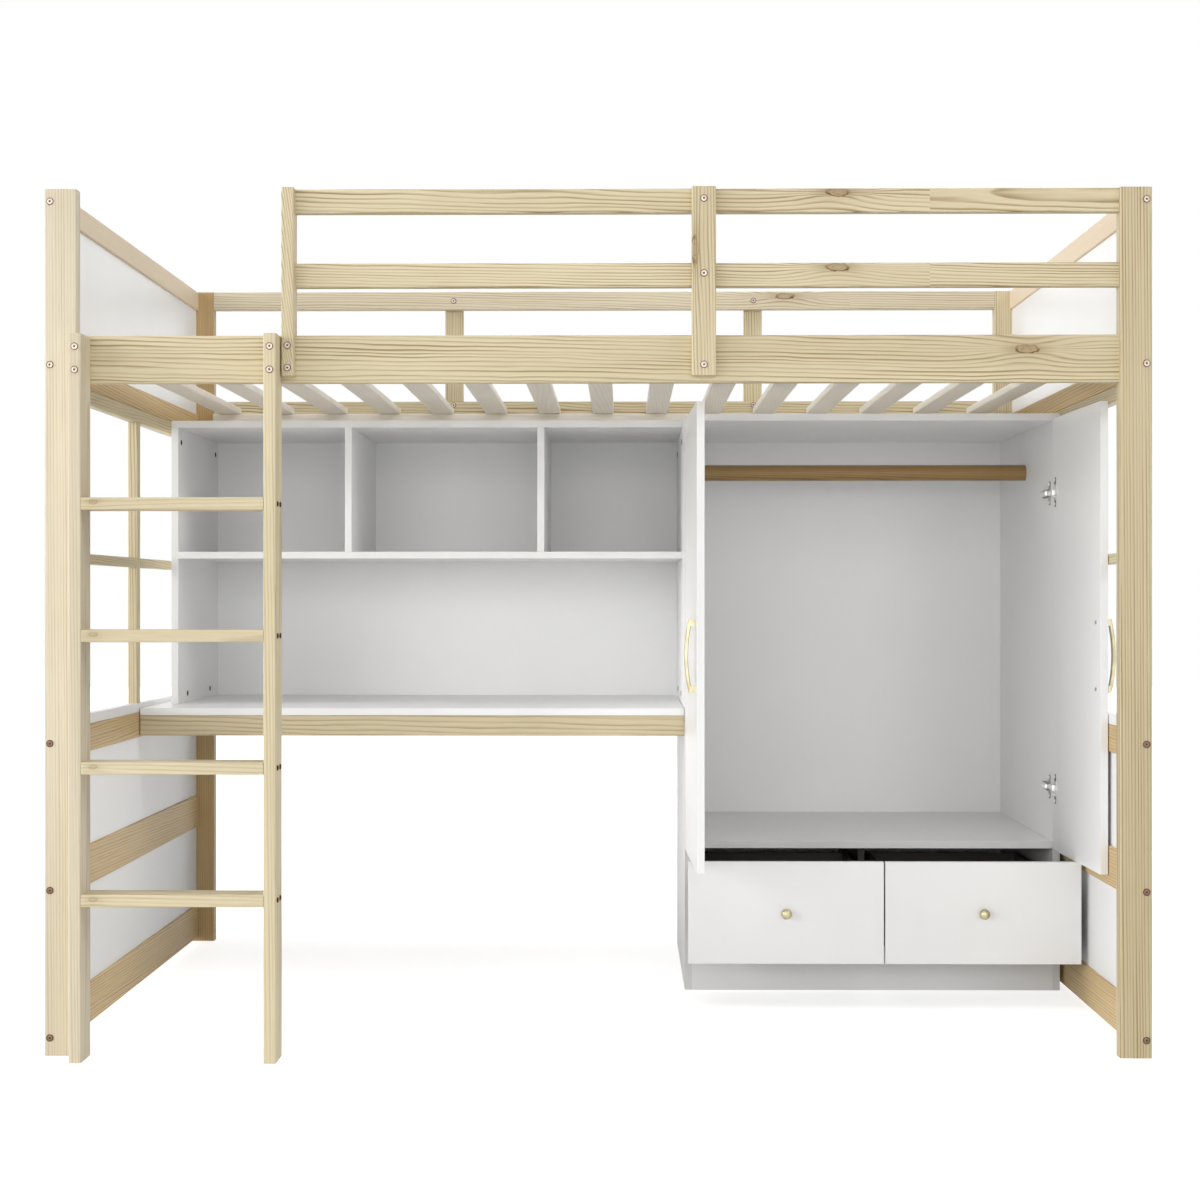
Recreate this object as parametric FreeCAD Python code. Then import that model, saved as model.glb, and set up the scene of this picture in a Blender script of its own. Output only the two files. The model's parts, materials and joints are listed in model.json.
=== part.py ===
"""Loft bed of pine and white board, with ladder, desk, hutch and wardrobe.

Millimetres, +Z up, +X along the bed from the ladder end to the wardrobe end, +Y from
the ladder side to the back. The origin is on the floor under the middle of the bed.
The doors are modelled open and the drawers pulled out, as they stand in use.
"""
import FreeCAD, Part
import math
import os
from FreeCAD import Vector

# Bed frame
BED_LENGTH = 1978.0
BED_WIDTH = 1272.0
POST_HEIGHT = 1552.0
POST_WIDTH = 57.0
POST_DEPTH = 30.0
RAIL_THICKNESS = 22.0
END_RAIL_THICKNESS = 20.0
WOOD_EDGE = 2.5

# End frames, from the floor upwards
END_FLOOR_GAP = 10.0
BOTTOM_RAIL_HEIGHT = 78.0
LOWER_PANEL_HEIGHT = 186.0
MIDDLE_RAIL_HEIGHT = 76.0
MIDDLE_PANEL_HEIGHT = 178.0
DESK_RAIL_HEIGHT = 53.0
SILL_HEIGHT = 19.0
WINDOW_HEAD_HEIGHT = 28.0
BED_RAIL_HEIGHT = 43.0
UPPER_PANEL_HEIGHT = 249.0
TOP_RAIL_HEIGHT = 44.0
PANEL_THICKNESS = 10.0
GROOVE_DEPTH = 6.0
GROOVE_CLEARANCE = 0.2
MULLION_WIDTH = 26.0
TRANSOM_HEIGHT = 20.0

# Side rails, ledgers and slats
SIDE_RAIL_HEIGHT = 85.0
SIDE_RAIL_ABOVE_SLAT_SEAT = 31.0
LEDGER_SIZE = 25.0
LEDGER_END_GAP = 3.0
SLAT_COUNT = 15
SLAT_WIDTH = 50.0
SLAT_THICKNESS = 15.0
SLAT_END_MARGIN = 17.0
SLAT_SIDE_GAP = 1.0

# Guards
GUARD_RAIL_HEIGHT = 43.0
GUARD_RAIL_GAP = 90.0
GUARD_POST_WIDTH = 43.0
GUARD_POST_THICKNESS = 22.0
GUARD_POST_LIFT = 11.0
MIDDLE_GUARD_OFFSET = -5.0
BACK_GUARD_POST_SPACING = 716.0

# Ladder
LADDER_WIDTH = 366.0
LADDER_SIDE_GAP = 2.0
LADDER_LEG_WIDTH = 22.0
LADDER_LEG_DEPTH = 68.0
LADDER_BELOW_RAIL_TOP = 4.0
RUNG_COUNT = 4
RUNG_FIRST_HEIGHT = 286.0
RUNG_TOP_GAP = 300.0
RUNG_THICKNESS = 22.0
RUNG_DEPTH = 62.0

# Boards of the desk, hutch and wardrobe
BOARD = 15.0
BACK_BOARD = 4.0
BOARD_EDGE = 0.8
CABINET_SETBACK = 608.0
CABINET_BACK_GAP = 2.0
CABINET_HEADROOM = 28.0
CABINET_END_GAP = 9.0

# Desk
DESK_END_GAP = 2.0
DESK_WARDROBE_GAP = 1.0
APRON_HEIGHT = 43.0
APRON_THICKNESS = 20.0
APRON_RECESS = 2.0
CLEAT_SIZE = 20.0
DESK_BELOW_RAIL_TOP = 7.0

# Hutch
HUTCH_SETBACK = 159.0
HUTCH_BEHIND_POST = 4.0
HUTCH_LEFT_SHARE = 0.331
HUTCH_MIDDLE_SHARE = 0.368
HUTCH_UPPER_HEIGHT = 270.0
CAP_RADIUS = 6.0
CAP_THICKNESS = 0.8
CAP_INSET = 30.0
LOWER_CAP_INSET = 95.0
LOWER_CAP_RISE = 20.0

# Wardrobe
WARDROBE_WIDTH = 784.0
PLINTH_HEIGHT = 90.0
DRAWER_SPACE_HEIGHT = 206.5
PARTITION_SETBACK = 200.0
ROD_RADIUS = 17.5
ROD_DROP = 91.0
ROD_SEAT_DEPTH = 8.0
ROD_CLEARANCE = 0.2

# Doors
FRONT_GAP = 2.0
FRONT_EDGE_GAP = 1.0
FRONT_MIDDLE_GAP = 3.0
DOOR_ABOVE_DRAWER = 1.0
DOOR_BELOW_TOP = 12.0
LEFT_DOOR_OPEN_DEGREES = 88.5
RIGHT_DOOR_OPEN_DEGREES = 91.3

# Cup hinges, in from the side board's outer face and out from its front edge
PIVOT_IN = 6.0
PIVOT_OUT = 12.3
LOWER_HINGE_RISE = 129.0
UPPER_HINGE_DROP = 154.0
PIN_RADIUS = 1.0
PIN_CLEARANCE = 0.05
PIN_HALF_LENGTH = 11.5
EYE_RADIUS = 2.0
ARM_STANDOFF = 2.0
ARM_THICKNESS = 2.5
ARM_HALF_WIDTH = 6.0
ARM_FINGER = 3.0
PLATE_FROM_EDGE = 20.0
PLATE_LENGTH = 42.0
PLATE_DEPTH = 11.0
PLATE_HALF_WIDTH = 8.5
WING_WIDTH = 11.0
WING_THICKNESS = 2.5
WING_HALF_HEIGHT = 25.0
CUP_RADIUS = 17.3
CUP_WALL = 1.3
CUP_FROM_EDGE = 22.5
CUP_POCKET_FLOOR = 2.3
CUP_POCKET_CLEARANCE = 0.2
KNUCKLE_WALL = 2.0
KNUCKLE_HALF_HEIGHT = 12.0
EAR_INNER = 8.0
EAR_THICKNESS = 3.0
EAR_OVERLAP = 6.0
SLOT_HALF_HEIGHT = 7.5
FLANGE_HALF_HEIGHT = 30.5
FLANGE_HALF_WIDTH = 6.0
FLANGE_THICKNESS = 1.0

# Bow handles and knobs
HANDLE_HOLE_SPACING = 128.0
HANDLE_FOOT = 13.0
HANDLE_FOOT_REACH = 13.5
HANDLE_PROJECTION = 22.0
HANDLE_BAR = 4.0
HANDLE_THICKNESS = 7.0
HANDLE_WIDTH = 11.0
HANDLE_EDGE = 1.5
HANDLE_FROM_DOOR_EDGE = 32.0
HANDLE_SPARE_SHARE = 0.27
HANDLE_SCREW_RADIUS = 2.0
HANDLE_SCREW_CLEARANCE = 0.2
HANDLE_SCREW_HEAD_RADIUS = 3.5
HANDLE_SCREW_HEAD_HEIGHT = 1.8
KNOB_RADIUS = 10.5
KNOB_NECK_RADIUS = 4.5
KNOB_FOOT_RADIUS = 7.0
KNOB_FOOT_HEIGHT = 3.0
KNOB_HEAD_HEIGHT = 10.0
KNOB_EDGE = 3.3
KNOB_PROJECTION = 24.0

# Drawers
DRAWER_OPEN = 190.0
DRAWER_FRONT_BELOW_SHELF = 2.5
DRAWER_FRONT_ABOVE_PLINTH = 1.0
DRAWER_BACK_ROOM = 102.0
DRAWER_BOX_HEIGHT = 150.0
DRAWER_SIDE = 12.0
DRAWER_BOTTOM = 4.0
DRAWER_BOTTOM_LIFT = 6.0
RUNNER_SIDE_GAP = 12.5
RUNNER_SHEET = 2.0
RUNNER_LIFT = 8.0
RUNNER_WALL_HEIGHT = 35.0
RUNNER_SHELF = 22.0
RUNNER_CLEARANCE = 0.3

# Bolts and screws
BOLT_HEAD_RADIUS = 6.5
BOLT_HEAD_HEIGHT = 1.5
BOLT_RADIUS = 3.0
BOLT_GRIP = 40.0
BOLT_FROM_RAIL_EDGE = 22.0
SIDE_BOLT_DROP = 12.0
SIDE_BOLT_SPACING = 32.0
LADDER_BOLT_LOW = 17.0
LADDER_BOLT_HIGH = 58.0
GUARD_BOLT_LOW = 25.0
GUARD_BOLT_HIGH = 65.0
MIDDLE_GUARD_BOLT_RISE = 30.0
BACK_GUARD_BOLT_DROP = 8.5
SCREW_HEAD_RADIUS = 4.0
SCREW_HEAD_HEIGHT = 1.2
SCREW_RADIUS = 2.0
SCREW_BITE = 16.0
RUNG_SCREW_BITE = 30.0
RUNG_SCREW_FROM_FACE = 17.0
RUNG_SCREW_SPACING = 28.0
FASTENER_CLEARANCE = 0.2

# Places along X
LEFT = -BED_LENGTH / 2
RIGHT = BED_LENGTH / 2
LEFT_POST_IN = LEFT + POST_WIDTH
RIGHT_POST_IN = RIGHT - POST_WIDTH
LADDER_LEFT = LEFT_POST_IN + LADDER_SIDE_GAP
LADDER_RIGHT = LADDER_LEFT + LADDER_WIDTH
GUARD_POST_X = (LADDER_RIGHT + LADDER_SIDE_GAP, LADDER_RIGHT + LADDER_SIDE_GAP + GUARD_POST_THICKNESS)
MIDDLE_GUARD_X = (GUARD_POST_X[1] + RIGHT_POST_IN) / 2 + MIDDLE_GUARD_OFFSET
WARDROBE_RIGHT = RIGHT - END_RAIL_THICKNESS - CABINET_END_GAP
WARDROBE_LEFT = WARDROBE_RIGHT - WARDROBE_WIDTH
WARDROBE_MIDDLE = (WARDROBE_LEFT + WARDROBE_RIGHT) / 2
DESK_X = (LEFT + END_RAIL_THICKNESS + DESK_END_GAP, WARDROBE_LEFT - DESK_WARDROBE_GAP)
HUTCH_X = (LEFT_POST_IN - HUTCH_BEHIND_POST, WARDROBE_LEFT)

# Places along Y
RAIL_RECESS = POST_DEPTH - RAIL_THICKNESS
LADDER_OUT = LADDER_LEG_DEPTH - RAIL_RECESS
GUARD_POST_OUT = GUARD_POST_THICKNESS - RAIL_RECESS
FRONT = -(BED_WIDTH + GUARD_POST_OUT - LADDER_OUT - BOLT_HEAD_HEIGHT) / 2
BACK = FRONT + BED_WIDTH
FRONT_POST_Y = (FRONT, FRONT + POST_DEPTH)
BACK_POST_Y = (BACK - POST_DEPTH, BACK)
END_Y = (FRONT_POST_Y[1], BACK_POST_Y[0])
FRONT_RAIL_Y = (FRONT + RAIL_RECESS, FRONT + POST_DEPTH)
BACK_RAIL_Y = (BACK - POST_DEPTH, BACK - RAIL_RECESS)
LADDER_FRONT = FRONT - LADDER_OUT
GUARD_POST_FRONT = FRONT - GUARD_POST_OUT
CABINET_BACK = BACK_POST_Y[0] - CABINET_BACK_GAP
CABINET_FRONT = FRONT_POST_Y[1] + CABINET_SETBACK
CABINET_DEPTH = CABINET_BACK - CABINET_FRONT
DRAWER_BOX_DEPTH = CABINET_DEPTH - DRAWER_BACK_ROOM
CARCASS_Y = (CABINET_FRONT, CABINET_BACK - BACK_BOARD)
BACK_BOARD_Y = (CABINET_BACK - BACK_BOARD, CABINET_BACK)
HUTCH_Y = (CABINET_FRONT + HUTCH_SETBACK, CABINET_BACK - BACK_BOARD)

# Heights
BOTTOM_RAIL_Z = (END_FLOOR_GAP, END_FLOOR_GAP + BOTTOM_RAIL_HEIGHT)
LOWER_PANEL_Z = (BOTTOM_RAIL_Z[1], BOTTOM_RAIL_Z[1] + LOWER_PANEL_HEIGHT)
MIDDLE_RAIL_Z = (LOWER_PANEL_Z[1], LOWER_PANEL_Z[1] + MIDDLE_RAIL_HEIGHT)
MIDDLE_PANEL_Z = (MIDDLE_RAIL_Z[1], MIDDLE_RAIL_Z[1] + MIDDLE_PANEL_HEIGHT)
DESK_RAIL_Z = (MIDDLE_PANEL_Z[1], MIDDLE_PANEL_Z[1] + DESK_RAIL_HEIGHT)
SILL_Z = (DESK_RAIL_Z[1], DESK_RAIL_Z[1] + SILL_HEIGHT)
TOP_RAIL_Z = (POST_HEIGHT - TOP_RAIL_HEIGHT, POST_HEIGHT)
UPPER_PANEL_Z = (TOP_RAIL_Z[0] - UPPER_PANEL_HEIGHT, TOP_RAIL_Z[0])
BED_RAIL_Z = (UPPER_PANEL_Z[0] - BED_RAIL_HEIGHT, UPPER_PANEL_Z[0])
WINDOW_HEAD_Z = (BED_RAIL_Z[0] - WINDOW_HEAD_HEIGHT, BED_RAIL_Z[0])
WINDOW_Z = (SILL_Z[1], WINDOW_HEAD_Z[0])
TRANSOM_MIDDLE = sum(WINDOW_Z) / 2
TRANSOM_Z = (TRANSOM_MIDDLE - TRANSOM_HEIGHT / 2, TRANSOM_MIDDLE + TRANSOM_HEIGHT / 2)
HANDLE_LENGTH = HANDLE_HOLE_SPACING + HANDLE_FOOT
PANE_SPARE = TRANSOM_Z[0] - WINDOW_Z[0] - HANDLE_LENGTH
HANDLE_HEIGHT = WINDOW_Z[0] + HANDLE_LENGTH / 2 + HANDLE_SPARE_SHARE * PANE_SPARE
SLAT_SEAT = BED_RAIL_Z[1]
SIDE_RAIL_TOP = SLAT_SEAT + SIDE_RAIL_ABOVE_SLAT_SEAT
SIDE_RAIL_Z = (SIDE_RAIL_TOP - SIDE_RAIL_HEIGHT, SIDE_RAIL_TOP)
GUARD_TOP_Z = (POST_HEIGHT - GUARD_RAIL_HEIGHT, POST_HEIGHT)
GUARD_LOWER_TOP = GUARD_TOP_Z[0] - GUARD_RAIL_GAP
GUARD_LOWER_Z = (GUARD_LOWER_TOP - GUARD_RAIL_HEIGHT, GUARD_LOWER_TOP)
GUARD_POST_Z = (SIDE_RAIL_Z[0] + GUARD_POST_LIFT, POST_HEIGHT)
LADDER_TOP = SIDE_RAIL_TOP - LADDER_BELOW_RAIL_TOP
RUNG_PITCH = (LADDER_TOP - RUNG_TOP_GAP - RUNG_FIRST_HEIGHT) / (RUNG_COUNT - 1)
CABINET_TOP = SLAT_SEAT - LEDGER_SIZE - CABINET_HEADROOM
DESK_UNDERSIDE = DESK_RAIL_Z[1] - DESK_BELOW_RAIL_TOP
DESK_TOP = DESK_UNDERSIDE + BOARD
HUTCH_SHELF_TOP = CABINET_TOP - BOARD - HUTCH_UPPER_HEIGHT
SHELF_Z = (PLINTH_HEIGHT + DRAWER_SPACE_HEIGHT, PLINTH_HEIGHT + DRAWER_SPACE_HEIGHT + BOARD)
DRAWER_FRONT_Z = (PLINTH_HEIGHT + DRAWER_FRONT_ABOVE_PLINTH, SHELF_Z[0] - DRAWER_FRONT_BELOW_SHELF)
DOOR_Z = (DRAWER_FRONT_Z[1] + DOOR_ABOVE_DRAWER, CABINET_TOP - DOOR_BELOW_TOP)
RUNNER_BASE = PLINTH_HEIGHT + RUNNER_LIFT

# A door as it hangs closed: X in from the wardrobe's outer face, Y from its front edge
DOOR_X = (FRONT_EDGE_GAP, (WARDROBE_WIDTH - FRONT_MIDDLE_GAP) / 2)
DOOR_Y = (-FRONT_GAP - BOARD, -FRONT_GAP)
PIVOT = Vector(PIVOT_IN, -PIVOT_OUT, 0)
POCKET_Y = (DOOR_Y[0] + CUP_POCKET_FLOOR, DOOR_Y[1])
CUP_X = DOOR_X[0] + CUP_FROM_EDGE
HINGE_HEIGHTS = (DOOR_Z[0] + LOWER_HINGE_RISE, DOOR_Z[1] - UPPER_HINGE_DROP)
HANDLE_X = DOOR_X[1] - HANDLE_FROM_DOOR_EDGE

SIDES = ("left", "right")
ALONG_X = Vector(1, 0, 0)
ALONG_Y = Vector(0, 1, 0)
ALONG_Z = Vector(0, 0, 1)

nodes = {}


def box(x, y, z):
    """Plain box between the given limits."""
    return Part.makeBox(x[1] - x[0], y[1] - y[0], z[1] - z[0], Vector(x[0], y[0], z[0]))


def timber(x, y, z):
    """Planed timber: a box with its long edges rounded."""
    solid = box(x, y, z)
    length = max(edge.Length for edge in solid.Edges)
    long_edges = [edge for edge in solid.Edges if math.isclose(edge.Length, length)]
    return solid.makeFillet(WOOD_EDGE, long_edges)


def board(x, y, z):
    """Coated board: a box with every edge slightly eased."""
    solid = box(x, y, z)
    return solid.makeFillet(BOARD_EDGE, solid.Edges)


def cylinder(start, direction, radius, length):
    """Round bar from a point along a direction."""
    return Part.makeCylinder(radius, length, start, direction)


def around(centre, half):
    """Limits at equal distance on both sides of a centre."""
    return (centre - half, centre + half)


def joined(*solids):
    """One solid made of touching solids."""
    first, *rest = solids
    return first.multiFuse(rest).removeSplitter().Solids[0]


def add(name, *solids):
    """Put solids into a node."""
    nodes.setdefault(name, []).extend(solids)


def cut(names, tool):
    """Cut a tool out of every solid of the named nodes."""
    for name in names:
        kept = []
        for solid in nodes[name]:
            if solid.BoundBox.intersect(tool.BoundBox):
                kept.extend(solid.cut(tool).Solids)
            else:
                kept.append(solid)
        nodes[name] = kept


def inward(side, near, far):
    """X limits between two distances in from the outer face of one bed end."""
    if side == "left":
        return (LEFT + near, LEFT + far)
    return (RIGHT - far, RIGHT - near)


def handed(solid, side):
    """A solid of the wardrobe's left half, or its mirror image for the right half."""
    return solid if side == "left" else solid.mirror(Vector(WARDROBE_MIDDLE, 0, 0), ALONG_X)


def fitted(solid, side):
    """Bring a solid from the closed door's frame to one side of the wardrobe."""
    solid.translate(Vector(WARDROBE_LEFT, CABINET_FRONT, 0))
    return handed(solid, side)


def hung(solid, side):
    """Swing a solid of the closed door open and bring it to its side."""
    opening = LEFT_DOOR_OPEN_DEGREES if side == "left" else RIGHT_DOOR_OPEN_DEGREES
    solid.rotate(PIVOT, ALONG_Z, -opening)
    return fitted(solid, side)


def fasten(group, start, direction, sizes, length, into):
    """Seat a headed fastener at a point, and drill its hole through the named nodes."""
    head_radius, head_height, radius = sizes
    head = cylinder(start - direction * head_height, direction, head_radius, head_height)
    add(group, joined(head, cylinder(start, direction, radius, length)))
    cut(into, cylinder(start, direction, radius + FASTENER_CLEARANCE, length + FASTENER_CLEARANCE))


def bolt(start, direction, length, into):
    """Flat-headed furniture bolt."""
    fasten("frame_bolts", start, direction, (BOLT_HEAD_RADIUS, BOLT_HEAD_HEIGHT, BOLT_RADIUS), length, into)


def screw(start, direction, length, into):
    """Wood screw."""
    fasten("screws_and_caps", start, direction, (SCREW_HEAD_RADIUS, SCREW_HEAD_HEIGHT, SCREW_RADIUS), length, into)


def make_posts():
    """Four corner posts."""
    for side in SIDES:
        for place, y in (("front", FRONT_POST_Y), ("back", BACK_POST_Y)):
            add(f"post_{place}_{side}", timber(inward(side, 0, POST_WIDTH), y, (0, POST_HEIGHT)))


def make_end_frame(side):
    """Rails, window bars and white panels between the two posts of one end."""
    rail_x = inward(side, 0, END_RAIL_THICKNESS)
    top_rail = f"end_top_rail_{side}"
    bed_rail = f"end_bed_rail_{side}"
    lower_rails = f"end_lower_rails_{side}"
    add(top_rail, timber(rail_x, END_Y, TOP_RAIL_Z))
    add(bed_rail, timber(rail_x, END_Y, BED_RAIL_Z))
    for z in (DESK_RAIL_Z, MIDDLE_RAIL_Z, BOTTOM_RAIL_Z):
        add(lower_rails, timber(rail_x, END_Y, z))
    add(f"window_sill_{side}", board(rail_x, END_Y, SILL_Z))

    panel_in = (END_RAIL_THICKNESS - PANEL_THICKNESS) / 2
    panel_out = panel_in + PANEL_THICKNESS
    panel_x = inward(side, panel_in, panel_out)
    groove_x = inward(side, panel_in - GROOVE_CLEARANCE, panel_out + GROOVE_CLEARANCE)
    upper = (f"end_upper_panel_{side}", (bed_rail, top_rail), UPPER_PANEL_Z)
    middle = (f"end_lower_panels_{side}", (lower_rails,), MIDDLE_PANEL_Z)
    lower = (f"end_lower_panels_{side}", (lower_rails,), LOWER_PANEL_Z)
    for panel, rails, z in (upper, middle, lower):
        panel_z = (z[0] - GROOVE_DEPTH, z[1] + GROOVE_DEPTH)
        add(panel, board(panel_x, END_Y, panel_z))
        cut(rails, box(groove_x, END_Y, panel_z))

    mullion_y = around(sum(END_Y) / 2, MULLION_WIDTH / 2)
    outer_half = box(inward(side, 0, END_RAIL_THICKNESS / 2), mullion_y, TRANSOM_Z)
    inner_half = box(inward(side, END_RAIL_THICKNESS / 2, END_RAIL_THICKNESS), mullion_y, TRANSOM_Z)
    head = timber(rail_x, END_Y, WINDOW_HEAD_Z)
    mullion = timber(rail_x, mullion_y, WINDOW_Z).cut(outer_half).Solids[0]
    transom = timber(rail_x, END_Y, TRANSOM_Z).cut(inner_half).Solids[0]
    add(f"window_frame_{side}", head, mullion, transom)


def make_bed_base():
    """Side rails, slat ledgers and slats."""
    rail_x = (LEFT_POST_IN, RIGHT_POST_IN)
    ledger_x = (LEFT_POST_IN + LEDGER_END_GAP, RIGHT_POST_IN - LEDGER_END_GAP)
    ledger_z = (SLAT_SEAT - LEDGER_SIZE, SLAT_SEAT)
    add("side_rail_front", timber(rail_x, FRONT_RAIL_Y, SIDE_RAIL_Z))
    add("side_rail_back", timber(rail_x, BACK_RAIL_Y, SIDE_RAIL_Z))
    add("slat_ledgers", timber(ledger_x, (END_Y[0], END_Y[0] + LEDGER_SIZE), ledger_z))
    add("slat_ledgers", timber(ledger_x, (END_Y[1] - LEDGER_SIZE, END_Y[1]), ledger_z))

    slat_y = (END_Y[0] + SLAT_SIDE_GAP, END_Y[1] - SLAT_SIDE_GAP)
    slat_z = (SLAT_SEAT, SLAT_SEAT + SLAT_THICKNESS)
    first = LEFT_POST_IN + SLAT_END_MARGIN
    last = RIGHT_POST_IN - SLAT_END_MARGIN - SLAT_WIDTH
    for index in range(SLAT_COUNT):
        x = first + (last - first) * index / (SLAT_COUNT - 1)
        add("bed_slats", timber((x, x + SLAT_WIDTH), slat_y, slat_z))


def make_guards():
    """Front guard beside the ladder and the single-rail back guard."""
    rail_x = (GUARD_POST_X[1], RIGHT_POST_IN)
    for z in (GUARD_TOP_Z, GUARD_LOWER_Z):
        add("guard_rails", timber(rail_x, FRONT_RAIL_Y, z))
    left_y = (GUARD_POST_FRONT, GUARD_POST_FRONT + GUARD_POST_WIDTH)
    notch = box(GUARD_POST_X, (FRONT_RAIL_Y[0], left_y[1]), (GUARD_POST_Z[0], SIDE_RAIL_TOP))
    add("guard_post_left", timber(GUARD_POST_X, left_y, GUARD_POST_Z).cut(notch).Solids[0])
    middle_x = around(MIDDLE_GUARD_X, GUARD_POST_WIDTH / 2)
    add("guard_post_middle", timber(middle_x, (GUARD_POST_FRONT, FRONT_RAIL_Y[0]), GUARD_POST_Z))

    add("back_guard_rail", timber((LEFT_POST_IN, RIGHT_POST_IN), BACK_RAIL_Y, GUARD_TOP_Z))
    post_y = (BACK_RAIL_Y[1], BACK_RAIL_Y[1] + GUARD_POST_THICKNESS)
    for centre in around(0, BACK_GUARD_POST_SPACING / 2):
        add("back_guard_posts", timber(around(centre, GUARD_POST_WIDTH / 2), post_y, GUARD_POST_Z))


def make_ladder():
    """Upright ladder against the front side rail."""
    leg_y = (LADDER_FRONT, FRONT_RAIL_Y[0])
    inner = (LADDER_LEFT + LADDER_LEG_WIDTH, LADDER_RIGHT - LADDER_LEG_WIDTH)
    add("ladder_leg_left", timber((LADDER_LEFT, inner[0]), leg_y, (0, LADDER_TOP)))
    add("ladder_leg_right", timber((inner[1], LADDER_RIGHT), leg_y, (0, LADDER_TOP)))
    for index in range(RUNG_COUNT):
        rung_z = around(RUNG_FIRST_HEIGHT + RUNG_PITCH * index, RUNG_THICKNESS / 2)
        add("ladder_rungs", timber(inner, (LADDER_FRONT, LADDER_FRONT + RUNG_DEPTH), rung_z))


def make_desk():
    """Desk top on an apron, a back rail and two cleats."""
    add("desk_top", board(DESK_X, (CABINET_FRONT, CABINET_BACK), (DESK_UNDERSIDE, DESK_TOP)))
    apron_y = (CABINET_FRONT + APRON_RECESS, CABINET_FRONT + APRON_RECESS + APRON_THICKNESS)
    back_y = (CABINET_BACK - APRON_THICKNESS, CABINET_BACK)
    rail_z = (DESK_UNDERSIDE - APRON_HEIGHT, DESK_UNDERSIDE)
    cleat_y = (apron_y[1], back_y[0])
    cleat_z = (DESK_UNDERSIDE - CLEAT_SIZE, DESK_UNDERSIDE)
    left_x = inward("left", END_RAIL_THICKNESS, END_RAIL_THICKNESS + CLEAT_SIZE)
    right_x = (WARDROBE_LEFT - CLEAT_SIZE, WARDROBE_LEFT)
    add("desk_rails", timber(DESK_X, apron_y, rail_z), timber(DESK_X, back_y, rail_z))
    add("desk_rails", timber(left_x, cleat_y, cleat_z), timber(right_x, cleat_y, cleat_z))


def make_hutch():
    """Open shelf unit that stands on the desk, against the wardrobe."""
    inner = (HUTCH_X[0] + BOARD, HUTCH_X[1])
    side_z = (DESK_TOP, CABINET_TOP - BOARD)
    add("hutch_side", board((HUTCH_X[0], inner[0]), HUTCH_Y, side_z))
    add("hutch_top", board(HUTCH_X, HUTCH_Y, (CABINET_TOP - BOARD, CABINET_TOP)))
    add("hutch_shelf", board(inner, HUTCH_Y, (HUTCH_SHELF_TOP - BOARD, HUTCH_SHELF_TOP)))
    add("hutch_back", board(HUTCH_X, BACK_BOARD_Y, (DESK_TOP, CABINET_TOP)))
    width = inner[1] - inner[0]
    first = inner[0] + width * HUTCH_LEFT_SHARE
    second = first + BOARD + width * HUTCH_MIDDLE_SHARE
    for x in (first, second):
        add("hutch_dividers", board((x, x + BOARD), HUTCH_Y, (HUTCH_SHELF_TOP, CABINET_TOP - BOARD)))

    upper_y = (HUTCH_Y[0] + CAP_INSET, HUTCH_Y[1] - CAP_INSET)
    lower_y = (HUTCH_Y[0] + LOWER_CAP_INSET, HUTCH_Y[1] - LOWER_CAP_INSET)
    for ys, z in ((upper_y, side_z[1] - CAP_INSET), (lower_y, side_z[0] + LOWER_CAP_RISE)):
        for y in ys:
            add("screws_and_caps", cylinder(Vector(inner[0], y, z), ALONG_X, CAP_RADIUS, CAP_THICKNESS))
            add("screws_and_caps", cylinder(Vector(inner[1], y, z), -ALONG_X, CAP_RADIUS, CAP_THICKNESS))


def make_wardrobe():
    """Wardrobe carcass with its base, shelf, back and hanging rod."""
    inner = (WARDROBE_LEFT + BOARD, WARDROBE_RIGHT - BOARD)
    outer = (WARDROBE_LEFT, WARDROBE_RIGHT)
    side_z = (0, CABINET_TOP - BOARD)
    add("wardrobe_side_left", board((outer[0], inner[0]), CARCASS_Y, side_z))
    add("wardrobe_side_right", board((inner[1], outer[1]), CARCASS_Y, side_z))
    add("wardrobe_top", board(outer, CARCASS_Y, (CABINET_TOP - BOARD, CABINET_TOP)))
    add("wardrobe_shelf", board(inner, CARCASS_Y, SHELF_Z))
    bottom_z = (PLINTH_HEIGHT - BOARD, PLINTH_HEIGHT)
    add("wardrobe_back", board(outer, BACK_BOARD_Y, (bottom_z[0], CABINET_TOP)))
    add("wardrobe_base", board(inner, (CABINET_FRONT, CABINET_FRONT + BOARD), (0, bottom_z[0])))
    add("wardrobe_base", board(inner, CARCASS_Y, bottom_z))
    partition_x = around(WARDROBE_MIDDLE, BOARD / 2)
    partition_y = (CARCASS_Y[0] + PARTITION_SETBACK, CARCASS_Y[1])
    add("wardrobe_base", board(partition_x, partition_y, (PLINTH_HEIGHT, SHELF_Z[0])))

    rod_y = sum(CARCASS_Y) / 2
    rod_z = CABINET_TOP - BOARD - ROD_DROP
    start = Vector(inner[0] - ROD_SEAT_DEPTH, rod_y, rod_z)
    length = inner[1] - inner[0] + 2 * ROD_SEAT_DEPTH
    add("wardrobe_rod", cylinder(start, ALONG_X, ROD_RADIUS, length))
    seat = cylinder(start, ALONG_X, ROD_RADIUS + ROD_CLEARANCE, length)
    cut(("wardrobe_side_left", "wardrobe_side_right"), seat)


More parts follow.
